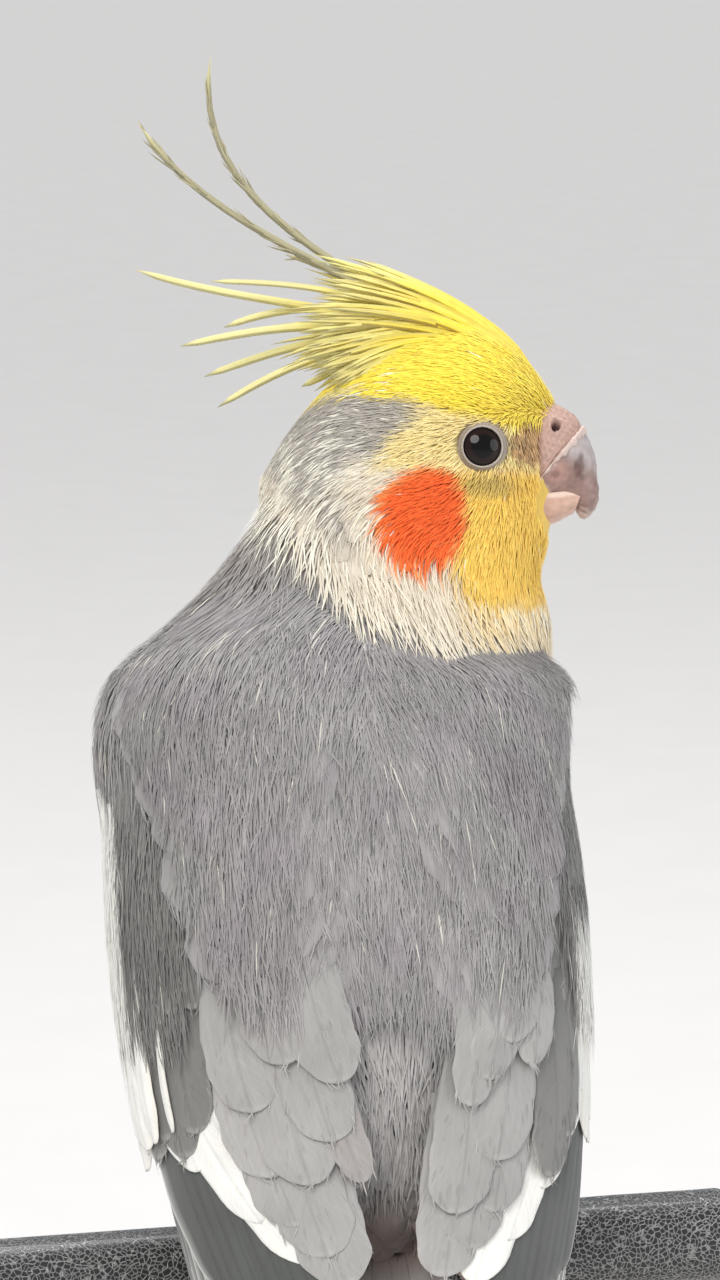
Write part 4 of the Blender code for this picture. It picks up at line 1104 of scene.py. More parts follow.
def layLoft(name, rings, finish, nodes=(), tone=None):
    # rings of one closed surface; the tone of the end rings also fills the caps
    points, faces = closedLoft(rings.reshape(rings.shape[0], -1, 3))
    if tone is not None:
        tone = np.concatenate([np.broadcast_to(tone, rings.shape).reshape(-1, 3), tone[0].mean(axis=0)[None],
                               tone[-1].mean(axis=0)[None]])
    return layPiece(name, points, faces, finish, nodes, tone)


def makeUpperBill(table, edge, a):
    # from just behind the cere's edge to the tip, with growth rings, a ragged end and a line of painted shade
    # along the gap between the bills
    w = np.linspace(0, 1, billLook["rows"])[:, None]
    first = np.clip(edge - 0.3, 0, 7)
    v = first + (billLook["tip"] - first) * w
    local = billPoint(table, v, a)
    bumps = 0.05 * cloud(local, 1.2, 43) + 0.05 * np.sin(9 * v + 2 * cloud(local, 3, 44)) * ramp(v, 2, 4)
    jag = 0.12 * np.maximum(cloud(local, 0.7, 45), 0) * ramp(v, 5.0, 6.2)
    local = billPoint(table, v, a, bumps + jag)
    tone = mixed(hornTone(local, v), horn["rim"], 0.6 * ramp(-np.cos(a), 0.62, 0.74) * ramp(v, 5.0, 4.0))
    # painted shade along the gap between the bills, on the upper bill's lower edge
    tone = mixed(tone, horn["billGapShade"], 0.9 * ramp(-np.cos(a), 0.76, 0.84) * ramp(v, 5.4, 4.6))
    layLoft("billUpper", headWorld(local), hornFinish, ("bill_upper",), tone)


def makeCere(table, edge, a):
    # a swollen skin that ends at the edge, with a rimmed nostril on each side, and sinks under the feathers
    w = np.linspace(0, 1, 60)[:, None]
    v = np.clip(edge + 0.04, 0.2, 7) * w
    local = billPoint(table, v, a)
    hole = np.hypot(local[..., 0] - billLook["nostril"][0], local[..., 2] - billLook["nostril"][1])
    hole = hole / billLook["nostrilReach"] + 3 * (np.abs(local[..., 1]) < 2)
    rim = 0.28 * np.exp(-(((hole - 1.25) / 0.3) ** 2))
    grow = billLook["swell"] * ramp(1 - w, 0, 0.12) + rim + 0.07 * cloud(local, 1.4, 46)
    grow = grow - billLook["nostrilDepth"] * ramp(hole, 1.15, 0.45) - 1.4 * ramp(local[..., 0], 18.0, 16.0)
    local = billPoint(table, v, a, grow)
    tone = np.broadcast_to(horn["cere"], local.shape) * (0.9 + 0.2 * cloud(local, 1.0, 47))[..., None]
    # painted shade inside the nostril's hollow
    tone = mixed(tone, horn["inside"], ramp(hole, 1.1, 0.65))
    tone = mixed(tone, markings["lore"], 0.45 * ramp(local[..., 0], 18.6, 17.0))
    layLoft("cereSkin", headWorld(local), cereFinish, ("cere",), tone)


def makeCereEdge(table):
    # the flaking ridge along the cere's edge: columns across it, rows round the bill
    a = np.linspace(-2.35, 2.35, 150)
    q = np.linspace(-1, 1, 7)
    ragged = 1 + 0.7 * cloud(np.stack([a * 6, 0 * a, 0 * a], axis=-1), 2.0, 48)[:, None]
    v = edgePlace(table, a)[:, None] + 0.06 + 0.05 * (ragged - 1) + (0.11 + 0.05 * (q > 0)) * q * ragged
    v = np.clip(v, 0, 7)
    lift = 0.12 + 0.45 * (1 - q**2) * (0.6 + 0.4 * ragged)
    top, bottom = billPoint(table, v, a[:, None], lift), billPoint(table, v, a[:, None], -0.25)
    points, faces = vaneMesh(headWorld(top)[None], headWorld(bottom)[None])
    speckle = 0.4 * (0.5 + 0.5 * cloud(points, 0.9, 49))
    tone = mixed(np.broadcast_to(horn["flake"], points.shape), horn["cere"], speckle)
    layPiece("cereEdge", points[0], faces, cereFinish, (), tone[0])


def makeLowerBill(table):
    # the same section upside down, pale at the rim, and darker above it as painted shade in the gap under the
    # upper bill
    a = np.linspace(0, 2 * pi, 72, endpoint=False)
    v = np.linspace(0, 2.98, 44)[:, None]
    local = billPoint(table, v, a + pi) * [1, -1, 1]
    middle = between(table, v)[1]
    up = middle - local[..., 2]
    local[..., 2] = middle + up
    tone = np.broadcast_to(horn["lower"], local.shape) * (0.95 + 0.08 * cloud(local, 1.2, 50))[..., None]
    tone = mixed(tone, horn["rim"], ramp(up, 0.9, 1.4))
    # painted shade along the top of the lower bill, where it sits inside the upper one
    tone = mixed(tone, horn["billGapShade"], ramp(up, 1.9, 2.05))
    layLoft("billLower", headWorld(local), hornFinish, ("bill_lower",), tone)


def makeBill():
    upper = stationed(billLook["upper"])
    a = np.linspace(0, 2 * pi, billLook["around"], endpoint=False)
    edge = edgePlace(upper, a)
    makeUpperBill(upper, edge, a)
    makeCere(upper, edge, a)
    makeCereEdge(upper)
    makeLowerBill(stationed(billLook["lower"]))


makeBill()
print("bill done")

# eyes

eyeLook = {
    "place": (8.95, 9.7, 0.05), "radius": 4.0, "pupil": 1.75, "iris": 2.6, "forward": 0.15,
    # reach from the eye's axis and height over its middle, round the lid and down to the bare skin's edge
    "lid": ((2.72, 2.65), (2.74, 2.95), (2.80, 3.14), (2.92, 3.22), (3.02, 3.10), (3.10, 2.88), (3.24, 2.78),
            (3.44, 2.48), (3.66, 2.06), (3.95, 1.45), (4.3, 0.80), (4.7, 0.3), (4.2, 0.1), (3.2, 1.2)),
    "beads": 34,
    # shade: painted shade on the lid, towards the feathers and in the crease behind its rim
    "pale": paint(186, 174, 164), "skin": paint(158, 146, 134), "shade": paint(120, 104, 82),
    "brown": paint(34, 20, 15), "black": paint(9, 8, 9),
}


def makeEye(side, label):
    # everything turns round the eye's own axis: reach outwards, height along it
    axis = unit(np.array([eyeLook["forward"], side, 0.0]))
    across = unit(np.cross([0, 0, 1.0], axis))
    centre = np.array(eyeLook["place"]) * [1, side, 1]
    phi = np.linspace(0, 2 * pi, 96, endpoint=False)
    circle = across * np.cos(phi)[:, None] + np.array([0, 0, 1.0]) * np.sin(phi)[:, None]

    def turned(reach, height):
        return headWorld(centre + circle * reach[..., None] + axis * height[..., None])

    polar = np.linspace(0.01, pi - 0.01, 48)[:, None] + 0 * phi
    reach, height = eyeLook["radius"] * np.sin(polar), eyeLook["radius"] * np.cos(polar)
    pupil, iris = eyeLook["pupil"], eyeLook["iris"]
    tone = mixed(np.broadcast_to(eyeLook["black"], polar.shape + (3,)), eyeLook["brown"],
                 ramp(reach, pupil - 0.08, pupil + 0.12) * ramp(reach, iris + 0.2, iris - 0.3))
    layLoft(f"eyeball{label}", turned(reach, height), eyeFinish, (f"eye_{label.lower()}",), tone)

    profile = np.array(eyeLook["lid"])
    closed = np.vstack([profile, profile[:1]])
    w = np.linspace(0, len(profile), 90, endpoint=False)
    reach = np.interp(w, np.arange(len(closed)), closed[:, 0])[:, None] + 0 * phi
    height = np.interp(w, np.arange(len(closed)), closed[:, 1])[:, None] + 0 * phi
    outside = ramp(w, 0.5, 1.5)[:, None] * ramp(w, 11.0, 9.5)[:, None]
    beads = np.abs(np.sin(phi * eyeLook["beads"] / 2)) * ramp(np.abs(reach - 2.9), 0.35, 0.1)
    creases = np.sin(reach * 15 + 0.8 * np.sin(phi * 3)) * ramp(reach, 3.2, 3.5)
    height = height + outside * (0.10 * beads + 0.04 * creases)
    reach = reach * (1 + 0.05 * np.cos(phi) * ramp(reach, 3.0, 4.5))
    tone = mixed(np.broadcast_to(eyeLook["pale"], reach.shape + (3,)), eyeLook["skin"],
                 ramp(reach, 2.92, 3.06))
    # painted shade: darker where the lid slopes down under the feathers, in the crease behind its rim, and
    # black on its inner lip against the eye
    tone = mixed(tone, eyeLook["shade"], 0.5 * ramp(reach, 3.5, 4.1))
    tone = mixed(tone, eyeLook["shade"], 0.6 * ramp(np.abs(reach - 3.16), 0.1, 0.0))
    tone = mixed(tone, eyeLook["black"], ramp(w, 1.2, 0.3)[:, None])
    layPiece(f"lid{label}", turned(reach, height).reshape(-1, 3), [ringFaces(len(w), len(phi))], lidFinish,
             (), tone.reshape(-1, 3))


for side, label in ((-1, "Right"), (1, "Left")):
    makeEye(side, label)
print("eyes done")

# crest

crestLook = {
    # root, two guides and tip in the side view (forward, up), then sideways at root and tip, half width
    "long": (
        ((8, 15), (-12, 28), (-33, 36), (-29.5, 57.2), 0.6, 1.0, 0.50),
        ((5, 15.5), (-8, 26), (-31, 32), (-40, 47.3), -0.8, -1.5, 0.48),
        ((7, 15), (-2, 22.5), (-11, 26), (-18.8, 28.4), 0.2, 2.0, 0.36),
        ((6, 15), (-8, 21.5), (-25, 21), (-40.7, 26.4), 1.4, 4.0, 0.56),
        ((4, 15.5), (-6, 23.5), (-18, 24), (-29.6, 24.2), -2.0, -2.6, 0.40),
        ((3, 15.5), (-7, 22.5), (-19, 21.5), (-27.8, 18), 2.4, 5.0, 0.54),
        ((3, 15), (-8, 19.5), (-21, 18), (-34, 14.9), -0.4, -1.0, 0.58),
        ((1, 15), (-9, 18.5), (-19, 15), (-30.6, 10.8), 1.6, 3.6, 0.58),
        ((0, 14.5), (-8, 16.5), (-18, 13), (-28.6, 6.2), 0.0, 1.2, 0.56),
        ((-1, 14), (-6, 14.5), (-11, 12), (-16.5, 9.4), 2.8, 4.6, 0.54),
    ),
    "crown": (
        ((16.5, 11), (12, 18.6), (4, 23.0), (-8, 26.0), 0.0, 0.3),
        ((15.5, 11.5), (10, 18.4), (2, 22), (-11, 24.2), -2.2, -2.4),
        ((15, 12), (9, 18.2), (1, 21.4), (-12, 22.6), 2.4, 3.0),
        ((14, 12), (8, 17.8), (-1, 20.8), (-15, 20.4), -3.6, -3.9),
        ((13, 12), (7, 17.4), (-2, 19.8), (-16, 18.2), 3.9, 4.6),
        ((11, 12.5), (4, 17.6), (-5, 18.2), (-15.5, 14.2), -3.4, -4.6),
        ((9, 13), (2, 16.8), (-5, 16.6), (-13, 12.0), 4.8, 5.6),
        ((8, 13), (2, 16.2), (-4, 15.2), (-11, 10.6), -5.2, -5.8),
    ),
    "crownStrands": 620, "crownHalf": (0.4, 0.75), "crownStations": 12, "stations": 16,
    "olive": 3, "fuzz": 34,  # the first rows are dusky, each with this many loose barbs
    "warm": paint(236, 190, 60),
}


def bezier(points, t):
    # cubic curve through four control points, for a stack of curves: t has one value or more for each
    c = [points[:, i, None] for i in range(4)]
    t = np.atleast_2d(t)[..., None]
    return (1 - t)**3 * c[0] + 3 * (1 - t)**2 * t * c[1] + 3 * (1 - t) * t * t * c[2] + t**3 * c[3]


def crestControls(rows):
    # four control points in the head's own frame, the sideways place easing from root to tip
    share = (0.0, 0.25, 0.65, 1.0)
    return np.array([[(row[i][0], row[4] + (row[5] - row[4]) * share[i], row[i][1]) for i in range(4)]
                     for row in rows])


def crestMesh(batch, curves, half, tones, deep=0.7, blunt=5):
    # flattened, tapered strands; tones run from root to tip
    t = np.linspace(0, 1, curves.shape[1])
    normal = np.broadcast_to(unit(np.array([0.1, 1.0, 0.3])), curves.shape)
    taper = np.minimum(1, 0.45 + 3 * t) * np.sqrt(np.clip(1.02 - t**blunt, 0, 1)) * (1 - 1.75 * t / blunt)
    width = half[:, None] * taper
    points, faces, station, across = strandMesh(curves, normal, width, width * deep)
    vane = strandVane(across, station, half, t, np.full(len(curves), 30))
    bake = bakePlace(headWorld(curves[:, 0]))[:, None] + vane[..., :2] * 0.0001
    batch.add(headWorld(points), faces, tones[:, station], vane, bake)


def longCrest(batch):
    # the separate feathers, each of two halves beside each other; the first ones are dusky
    t = np.linspace(0, 1, crestLook["stations"])
    rows = crestLook["long"]
    curves = bezier(crestControls(rows), t)
    pale = mixed(markings["crown"], markings["crestPale"], ramp(t, 0.25, 0.7))
    dusky = mixed(markings["crestPale"], markings["crestOlive"], ramp(t, 0.1, 0.35) * ramp(t, 1.15, 0.8))
    tones = np.where((np.arange(len(rows)) < crestLook["olive"])[:, None, None], dusky, pale)
    half = np.array([row[6] for row in rows])
    for twist in (-0.4, 0.4):
        beside = np.array([0, 0.6, 0.45]) * twist * (1 - 0.8 * t)[None, :, None]
        crestMesh(batch, curves + beside, half, tones, 0.7, 16)


def looseBarbs(batch):
    # short stretches of the dusky curves, drifting away from them
    which = rng.integers(0, crestLook["olive"], crestLook["fuzz"] * 3)
    start = rng.uniform(0.25, 0.93, len(which))
    share = np.linspace(0, 1, 5)
    curves = bezier(crestControls(crestLook["long"])[which], np.clip(start[:, None] + 0.09 * share, 0, 1))
    away = rng.normal(0, 0.55, (len(which), 1, 3)) * share[None, :, None]
    half = rng.uniform(0.10, 0.2, len(which))
    tones = markings["crestOlive"] * rng.uniform(0.8, 1.3, (len(which), 1, 1))
    crestMesh(batch, curves + away, half, np.repeat(tones, 5, axis=1))


def crownMass(batch):
    # each strand lies between two neighbouring guides, and some lie lower than the others
    guides = crestControls(crestLook["crown"])
    count = crestLook["crownStrands"]
    pick = rng.integers(0, len(guides), count)
    other = np.clip(pick + rng.integers(-2, 3, count), 0, len(guides) - 1)
    share = rng.random(count)[:, None, None]
    controls = guides[pick] * (1 - share) + guides[other] * share
    under = rng.random(count) ** 1.5
    controls = controls - np.array([0, 0, 2.0]) * under[:, None, None] * np.array([0, 0.7, 1.0, 1.0])[:, None]
    loose = np.array([0.0, 0.4, 0.8, 1.6])[:, None]
    controls = controls + rng.normal(0, 0.35, (count, 1, 3)) + rng.normal(0, 0.5, (count, 4, 3)) * loose
    reach = (rng.uniform(0.72, 1.06, count) + 0.4 * np.maximum(rng.random(count) - 0.6, 0))[:, None, None]
    controls[:, 2:] = controls[:, :1] + (controls[:, 2:] - controls[:, :1]) * reach
    t = np.linspace(0, 1, crestLook["crownStations"])
    tint = mixed(markings["crown"], markings["crestPale"], ramp(t, 0.45, 1.0) * 0.75)
    warm = mixed(markings["crown"], crestLook["warm"], 0.5)
    tones = mixed(tint[None], warm, (rng.random(count) * 0.6)[:, None] * ramp(t, 0.9, 0.2))
    # a random brightness for each strand, and the lower strands darker as painted shade under the upper ones
    tones = tones * (1 + 0.06 * rng.normal(size=(count, 1, 1))) * (1.06 - 0.08 * under)[:, None, None]
    crestMesh(batch, bezier(controls, t), rng.uniform(*crestLook["crownHalf"], count), tones, 0.4)


def makeCrest():
    batch = Batch()
    longCrest(batch)
    looseBarbs(batch)
    crownMass(batch)
    batch.lay("crestFeathers", hairFeather, "yellow_feathers", ("crest",))


makeCrest()
print("crest done")

# wings and cape

wingLook = {
    "rimBarbs": 26, "columns": (-1, -0.86, -0.55, -0.15, 0, 0.15, 0.55, 0.86, 1),
    # covert rows: place of the tips, first and last angle, roots this much higher, half width, lift, tone
    "coverts": ((-27.5, 56, 98, 25, 3.5, 2.7, "covert"), (-13, 48, 100, 22, 3.7, 3.1, "covert"),
                (1, 47, 101, 20, 4.0, 3.1, "covert"), (13, 49, 99, 19, 4.4, 2.7, "covertSoft"),
                (23, 52, 95, 15, 4.8, 1.7, "covertSoft")),
    "covertStep": 6.6,
    # count, roots and tips of the innermost and the outermost, half width, lift, tone
    "flight": ((7, ((-18, 97), (-8, 60)), ((-131, 37.5), (-72, 40)), 5.4, 1.5, "primary"),
               (9, ((-4, 80), (-6, 40)), ((-50, 60), (-60, 22)), 5.0, 2.0, "primary")),
    # root, tip (place, degrees), half width, lift, tone, share that is white from the outer edge
    "left": (
        ((2, 97), (-28, 85), 3.2, 3.1, "covert", 1.0), ((-6, 87), (-29, 80), 2.4, 3.4, "covert", 1.0),
        ((-3.5, 76), (-28.5, 74), 1.3, 3.6, "covert", 1.0),
        ((-8, 65), (-27.5, 65.5), 0.55, 3.6, "covert", 1.0),
        ((-12, 66), (-47, 28.5), 4.4, 2.1, "covert", 1.0), ((-8, 74), (-41, 42), 3.4, 2.2, "covert", 1.0),
        ((-4, 84), (-33, 60), 3.2, 2.2, "covert", 0.9), ((-28, 24), (-50.5, 20), 5.0, 2.3, "tertial", 0),
        ((-24, 29), (-46.5, 23.5), 5.0, 2.6, "tertial", 0), ((-22, 36), (-42, 31), 4.6, 2.5, "tertial", 0),
        ((-14, 41), (-35, 36), 4.6, 2.9, "tertial", 0), ((-18, 17), (-37, 11.5), 2.6, 3.0, "tertialWarm", 0),
        ((-13, 30), (-36.5, 25.5), 5.0, 3.2, "tertial", 0), ((-10, 23), (-31, 18.5), 4.4, 3.4, "tertial", 0),
        ((-3, 42), (-26, 38.5), 4.4, 3.5, "tertial", 0), ((-1, 22), (-23, 15.5), 4.2, 3.9, "tertial", 0),
        ((2, 34), (-20, 28.5), 4.0, 4.0, "tertial", 0),
    ),
    "right": (
        ((-20, 40), (-51.5, 19), 4.6, 2.1, "warmWhite", 1.0),
        ((-22, 48), (-46, 31), 3.4, 2.2, "warmWhite", 1.0),
        ((-18, 57), (-39, 44), 3.2, 2.2, "warmWhite", 1.0), ((-26, 14), (-50.5, 9.5), 4.6, 2.3, "tertial", 0),
        ((-24, 21), (-47, 17), 4.6, 2.5, "tertial", 0), ((-19, 29), (-42, 25), 4.4, 2.7, "tertial", 0),
        ((-18, 18), (-42, 13), 4.6, 3.0, "tertial", 0), ((-12, 30), (-35, 25.5), 4.6, 3.2, "tertial", 0),
        ((-14, 45), (-37.5, 45), 3.4, 3.4, "covert", 0), ((-9, 52), (-32, 53), 3.2, 3.2, "covert", 0.15),
        ((-6, 20), (-27.5, 17.5), 3.2, 3.8, "tertial", 0), ((-4, 38), (-22, 36), 3.0, 4.0, "tertial", 0),
        ((-2, 27), (-24, 22.5), 3.4, 4.0, "tertial", 0), ((2, 33), (-19, 29.5), 3.8, 4.1, "tertial", 0),
    ),
    "whiteFrom": {"left": 82, "right": 60},  # outside this angle the coverts are white
    "whiteBelow": {"left": 22, "right": 0},
    "rimLength": (1.2, 2.6), "rimHalf": (0.06, 0.12), "sheetCells": 10,
    "barbs": 2600, "barbLength": (4.0, 8.0), "barbHalf": (0.07, 0.13),
}
cape = {
    # angle from the middle of the back and the place where the cape ends there
    "left": np.array([(0, -13), (8, -13.6), (14, -13.2), (20, -13), (26, -14.2), (31, -14.6), (36, -12.5),
                      (41, -10), (46, -3), (52, 6), (56, 20), (60, 33), (66, 40)]),
    "right": np.array([(0, -13.4), (5, -14.4), (9, -18), (13, -17), (20, -16), (28, -15), (34, -12.5),
                       (38, -7), (42, 2), (47, 12), (52, 24), (58, 34), (64, 40)]),
    "rowStep": 4.2, "columnStep": 7.0, "rows": 13, "length": (15.0, 20.0), "half": (5.4, 6.8),
    "top": 43, "lastTip": 33, "side": 64,
    "sunk": 4.0,  # how far vanes and barbs lie lower under the head's fringe
    "rimBarbs": 44, "rimLength": (2.5, 5.0), "rimHalf": (0.07, 0.13),
    "strands": 5200, "strandLength": (4.0, 8.5), "strandHalf": (0.07, 0.14), "barbDeep": 0.03,
}


def tipShape(t, blunt):
    # half width against length: swelling from the root, an elliptical end from the place "blunt" on
    body = 0.6 + 0.4 * ramp(t, 0, 0.5)
    end = np.clip((t - blunt) / (1 - blunt), 0, 1)
    return body * np.sqrt(np.maximum(1 - end**2.2, 0.0004))


def shaftBump(q):
    # a narrow ridge along the middle of a vane
    return np.exp(-((q / 0.06) ** 2))


def hullFeathers(side, roots, tips, half, lifts, tilt, blunt, table=wingTable, bow=2.0, rows=20,
                 thick=0.3, cup=0.3, wave=0.0, dip=0.15, under=0.0):
    # centre line from root to tip in (s, a); columns step sideways along the hull, then lift off it
    count = len(roots)
    t = (1 - (1 - np.linspace(0, 1, rows)) ** 1.7)[None]
    q = np.array(wingLook["columns"])
    s = roots[:, :1] + (tips - roots)[:, :1] * t
    a = np.radians(roots[:, 1:] + (tips - roots)[:, 1:] * t + bow * np.sin(pi * t))
    table = sided(table, side)
    point, normal, along, across = hullFrame(table, s, a)
    run = unit((tips - roots)[:, :1, None] * along + np.radians((tips - roots)[:, 1:, None]) * across)
    out = unit(np.cross(run, normal))
    out = out * np.sign(dot(out, across))
    wobble = 1 + 0.05 * np.sin(t * 31 + rng.uniform(0, 6, (count, 1))) * t
    reach = (half[:, None] * tipShape(t, blunt) * wobble)[..., None] * q
    ragged = 1 + 0.25 * np.sin(7 * q + rng.uniform(0, 6, (count, 1, 1)))
    slip = 0.35 * ragged * (t**6)[..., None] * half[:, None, None] * 0.25
    sHere = s[..., None] + (dot(out, along) / dot(along, along) * reach - slip)
    aHere = a[..., None] + dot(out, across) / dot(across, across) * reach
    height = (lifts[:, :1] + (lifts[:, 1:] - lifts[:, :1]) * t - dip * t**5)[..., None]
    height = height + tilt * reach - cup * q**2 + 0.06 * shaftBump(q)
    phase = rng.uniform(0, 6, (count, 1, 1))
    height = height + wave * np.sin(reach * 0.9 + t[..., None] * 5 + phase) * t[..., None]

    def raised(h):
        return bodyWorld(lifted(table, sHere, aHere, h) * [side, 1, 1])

    if under:
        height = height - under * (1 - faceFree(raised(0 * height)))
    drop = thick * (1 - 0.5 * t[..., None]) * (1 - 0.55 * q**4) + 0.02
    length = np.hypot(tips[:, 0] - roots[:, 0], np.radians(tips[:, 1] - roots[:, 1]) * 26)
    grid = np.stack(np.broadcast_arrays(reach, t[..., None] * length[:, None, None],
                                        (rng.random(count) * 90)[:, None, None]), axis=-1)
    place = np.stack(np.broadcast_arrays(sHere, np.degrees(aHere), q, t[..., None]), axis=-1)
    return raised(height), raised(height - drop), grid, place


def bakeCells(index, cells, vane, half, length):
    # a cell of the sheet for each feather
    u = (index % cells + 0.5 + 0.4 * vane[..., 0] / half) / cells
    v = (index // cells + 0.06 + 0.88 * vane[..., 1] / length) / cells
    return np.stack([u, v], axis=-1)


def rimBarbs(batch, top, tone, each, length, half, low=0.45):
    # fine barbs that start on a vane, run towards its tip and rim, and end a little outside it
    count, rows, columns = top.shape[:3]
    which = np.repeat(np.arange(count), each)
    t = rng.uniform(low, 0.97, len(which)) * (rows - 1)
    q = rng.uniform(0.04, 0.96, len(which)) * (columns - 1)
    i, j = t.astype(int), q.astype(int)
    corner = top[which, i, j]
    down, out = top[which, i + 1, j] - corner, top[which, i, j + 1] - corner
    start = corner + down * (t - i)[:, None] + out * (q - j)[:, None]
    sideways = (q / (columns - 1) * 2 - 1)[:, None]
    run = unit(unit(down) + 0.4 * sideways * unit(out) + 0.06 * rng.normal(size=(len(which), 1)) * unit(out))
    normal, axis = unit(np.cross(unit(out), unit(down))), bodyTurn[:, 2]
    normal = normal * np.sign(dot(normal, start - (bodyCentre + axis * dot(start - bodyCentre, axis))))
    stations = np.linspace(0, 1, 4)
    reach = rng.uniform(*length, len(which))
    path = start[:, None] + run[:, None] * (reach[:, None] * stations)[..., None]
    path = path + normal[:, None] * (0.05 + 0.12 * stations - 0.22 * stations**2)[None, :, None]
    wide = rng.uniform(*half, len(which))
    tint = tone[which, i, j] * (1 + 0.05 * rng.normal(size=(len(which), 1)))
    addStrands(batch, start, path, normal[:, None], wide, cape["barbDeep"], tint, reach)


def flightRows():
    # each tier in even steps from its innermost to its outermost feather; the first tier lies lower inside
    rows = []
    for tier, (count, roots, tips, half, lift, tone) in enumerate(wingLook["flight"]):
        for t in np.arange(count) / (count - 1):
            root, tip = (first + (last - first) * t for first, last in (np.array(roots), np.array(tips)))
            rows.append((root, tip, half, lift * (1.0 if tier else 0.3 + 0.8 * t), tone, 0.05))
    return rows


def covertRows(label):
    # rows of coverts from the wing's edge inwards, their tips on a shallow arc; white beyond the edge's angle
    edge, below = wingLook["whiteFrom"][label], wingLook["whiteBelow"][label]
    rows = []
    for place, low, high, above, half, lift, tone in wingLook["coverts"]:
        if label == "right" and place < 0:
            low = low + 6
        for a in np.arange(high, low - 0.1, -wingLook["covertStep"]):
            arc = 2.0 * sin(pi * (a - low) / (high - low))
            tip = (place - arc + rng.uniform(-3, 3), a + rng.normal(0, 0.7))
            white = (1.0 if a > edge + 1 else (0.3 if a > edge - 4 else 0)) * (place < below)
            rows.append(((tip[0] + above, a - 2.0), tip, half, lift + rng.normal(0, 0.08), tone, white))
    return rows


def rowArrays(rows):
    # roots, tips, half widths and lifts
    return [np.array([row[i] for row in rows], float) for i in range(4)]


def wingTone(rows, place):
    # grey vanes, cloudy along the wing, with thin pale rims; white from the outer edge where it says so
    s, a, q, t = np.moveaxis(place, -1, 0)
    base = np.array([markings[row[4]] for row in rows])[:, None, None]
    share = np.array([row[5] for row in rows])[:, None, None]
    single = 1 + 0.05 * rng.normal(size=(len(rows), 1, 1))
    tone = base * ((1 + 0.06 * cloud(place[..., :3] * [1, 0.5, 1], 14.0, 21)) * single)[..., None]
    rim = np.clip(ramp(np.abs(q), 0.84, 1) * ramp(t, 0.35, 0.8) + ramp(t, 0.95, 1), 0, 1)
    strength = np.where(np.array([row[4] for row in rows]) == "primary", 0.12, 0.36)[:, None, None]
    tone = mixed(tone, markings["rim"], strength * rim)
    # painted shade: darker towards the root, which lies under the next feathers
    tone = tone * (1 - 0.22 * ramp(t, 0.45, 0.0))[..., None]
    white = ramp(q, 1 - 2 * share - 0.12, 1 - 2 * share + 0.12) * (share > 0) + (share > 0.95)
    pale = mixed(markings["white"], markings["cream"], 0.35 * ramp(q, -0.4, -1))
    return mixed(tone, pale, 0.96 * np.clip(white, 0, 1) * ramp(s, 27, 20))


def layFeathers(batch, first, side, rows, blunt, tilt, **shape):
    # lays the rows as stiff feathers and gives back their upper skins and tones
    roots, tips, half, lift = rowArrays(rows)
    lifts = np.stack([np.maximum(lift - 1.0, 0.25) - 2.2 * ramp(roots[:, 0], 26, 36), lift], axis=1)
    top, bottom, grid, place = hullFeathers(side, roots, tips, half, lifts, tilt, blunt, **shape)
    count = len(rows)
    tone, flat = wingTone(rows, place).reshape(count, -1, 3), grid.reshape(count, -1, 3)
    cell = bakeCells(np.arange(first, first + count)[:, None], wingLook["sheetCells"], flat, half[:, None],
                     np.maximum(flat[..., 1].max(axis=1, keepdims=True), 1))
    batch.addVanes(top, bottom, tone, flat, cell)
    return top, tone.reshape(top.shape)


def makeWing(side, label):
    # flight feathers, then coverts and tertials over them, lowest first
    batch = Batch()
    under = flightRows()
    over = covertRows(label)
    over += [(*row[:3], row[3] + 0.2, *row[4:]) for row in wingLook[label]]
    layFeathers(batch, 0, side, under, 0.5, 0.04)
    top, tone = layFeathers(batch, len(under), side, over, 0.74, 0.05, wave=0.12)
    batch.lay(f"wingFeathers{label.title()}", stiffFeather, "feathers", (f"wing_{label}",))
    batch = Batch()
    plain = np.array([row[5] < 0.9 for row in over])
    rimBarbs(batch, top[plain], tone[plain], wingLook["rimBarbs"], wingLook["rimLength"],
             wingLook["rimHalf"], 0.3)
    batch.lay(f"wingRims{label.title()}", hairFeather, "feathers", smooth=False)


def wingBed(side, label):
    # the arm and hand under the coverts: a curved patch with thin rims
    p, q = np.meshgrid(np.linspace(0, 1, 24), np.linspace(0, 1, 16), indexing="ij")
    s = 32 - 53 * p
    low = 15 + 18 * (1 - p) ** 2 + 8 * p**3
    high = 106 - 26 * (1 - p) ** 4 + 2 * p
    a = np.radians(low + (high - low) * q)
    h = 0.95 + 1.4 * (1 - np.abs(2 * p - 1) ** 4) * (1 - np.abs(2 * q - 1) ** 4)
    table = sided(wingTable, side)
    top, bottom = (bodyWorld(lifted(table, s, a, height) * [side, 1, 1])[None] for height in (h, 0.3 + 0 * h))
    points, faces = vaneMesh(top, bottom)
    batch = Batch()
    uv = np.stack([p.ravel(), q.ravel()], axis=-1) * 0.9 + 0.05
    batch.add(points, faces, markings["covert"], points * [1, 1, 0.3], np.concatenate([uv, uv])[None])
    batch.lay(f"wingBed{label.title()}", softFeather, "feathers")


def capeTone(p, s, a):
    # the mantle's grey, darker in soft clouds towards the outside
    wave = 0.6 * cloud(p, 24.0, 5) + 0.45 * cloud(p, 9.0, 6)
    outside = 0.5 * ramp(a + 6 * wave, 34, 58)
    tone = mixed(np.broadcast_to(markings["mantle"], p.shape), markings["covertSoft"], outside)
    tone = mixed(tone, markings["lavender"], 0.45 * ramp(cloud(p, 15.0, 7), 0.0, 0.6))
    return tone * (1 + 0.17 * wave)[..., None]


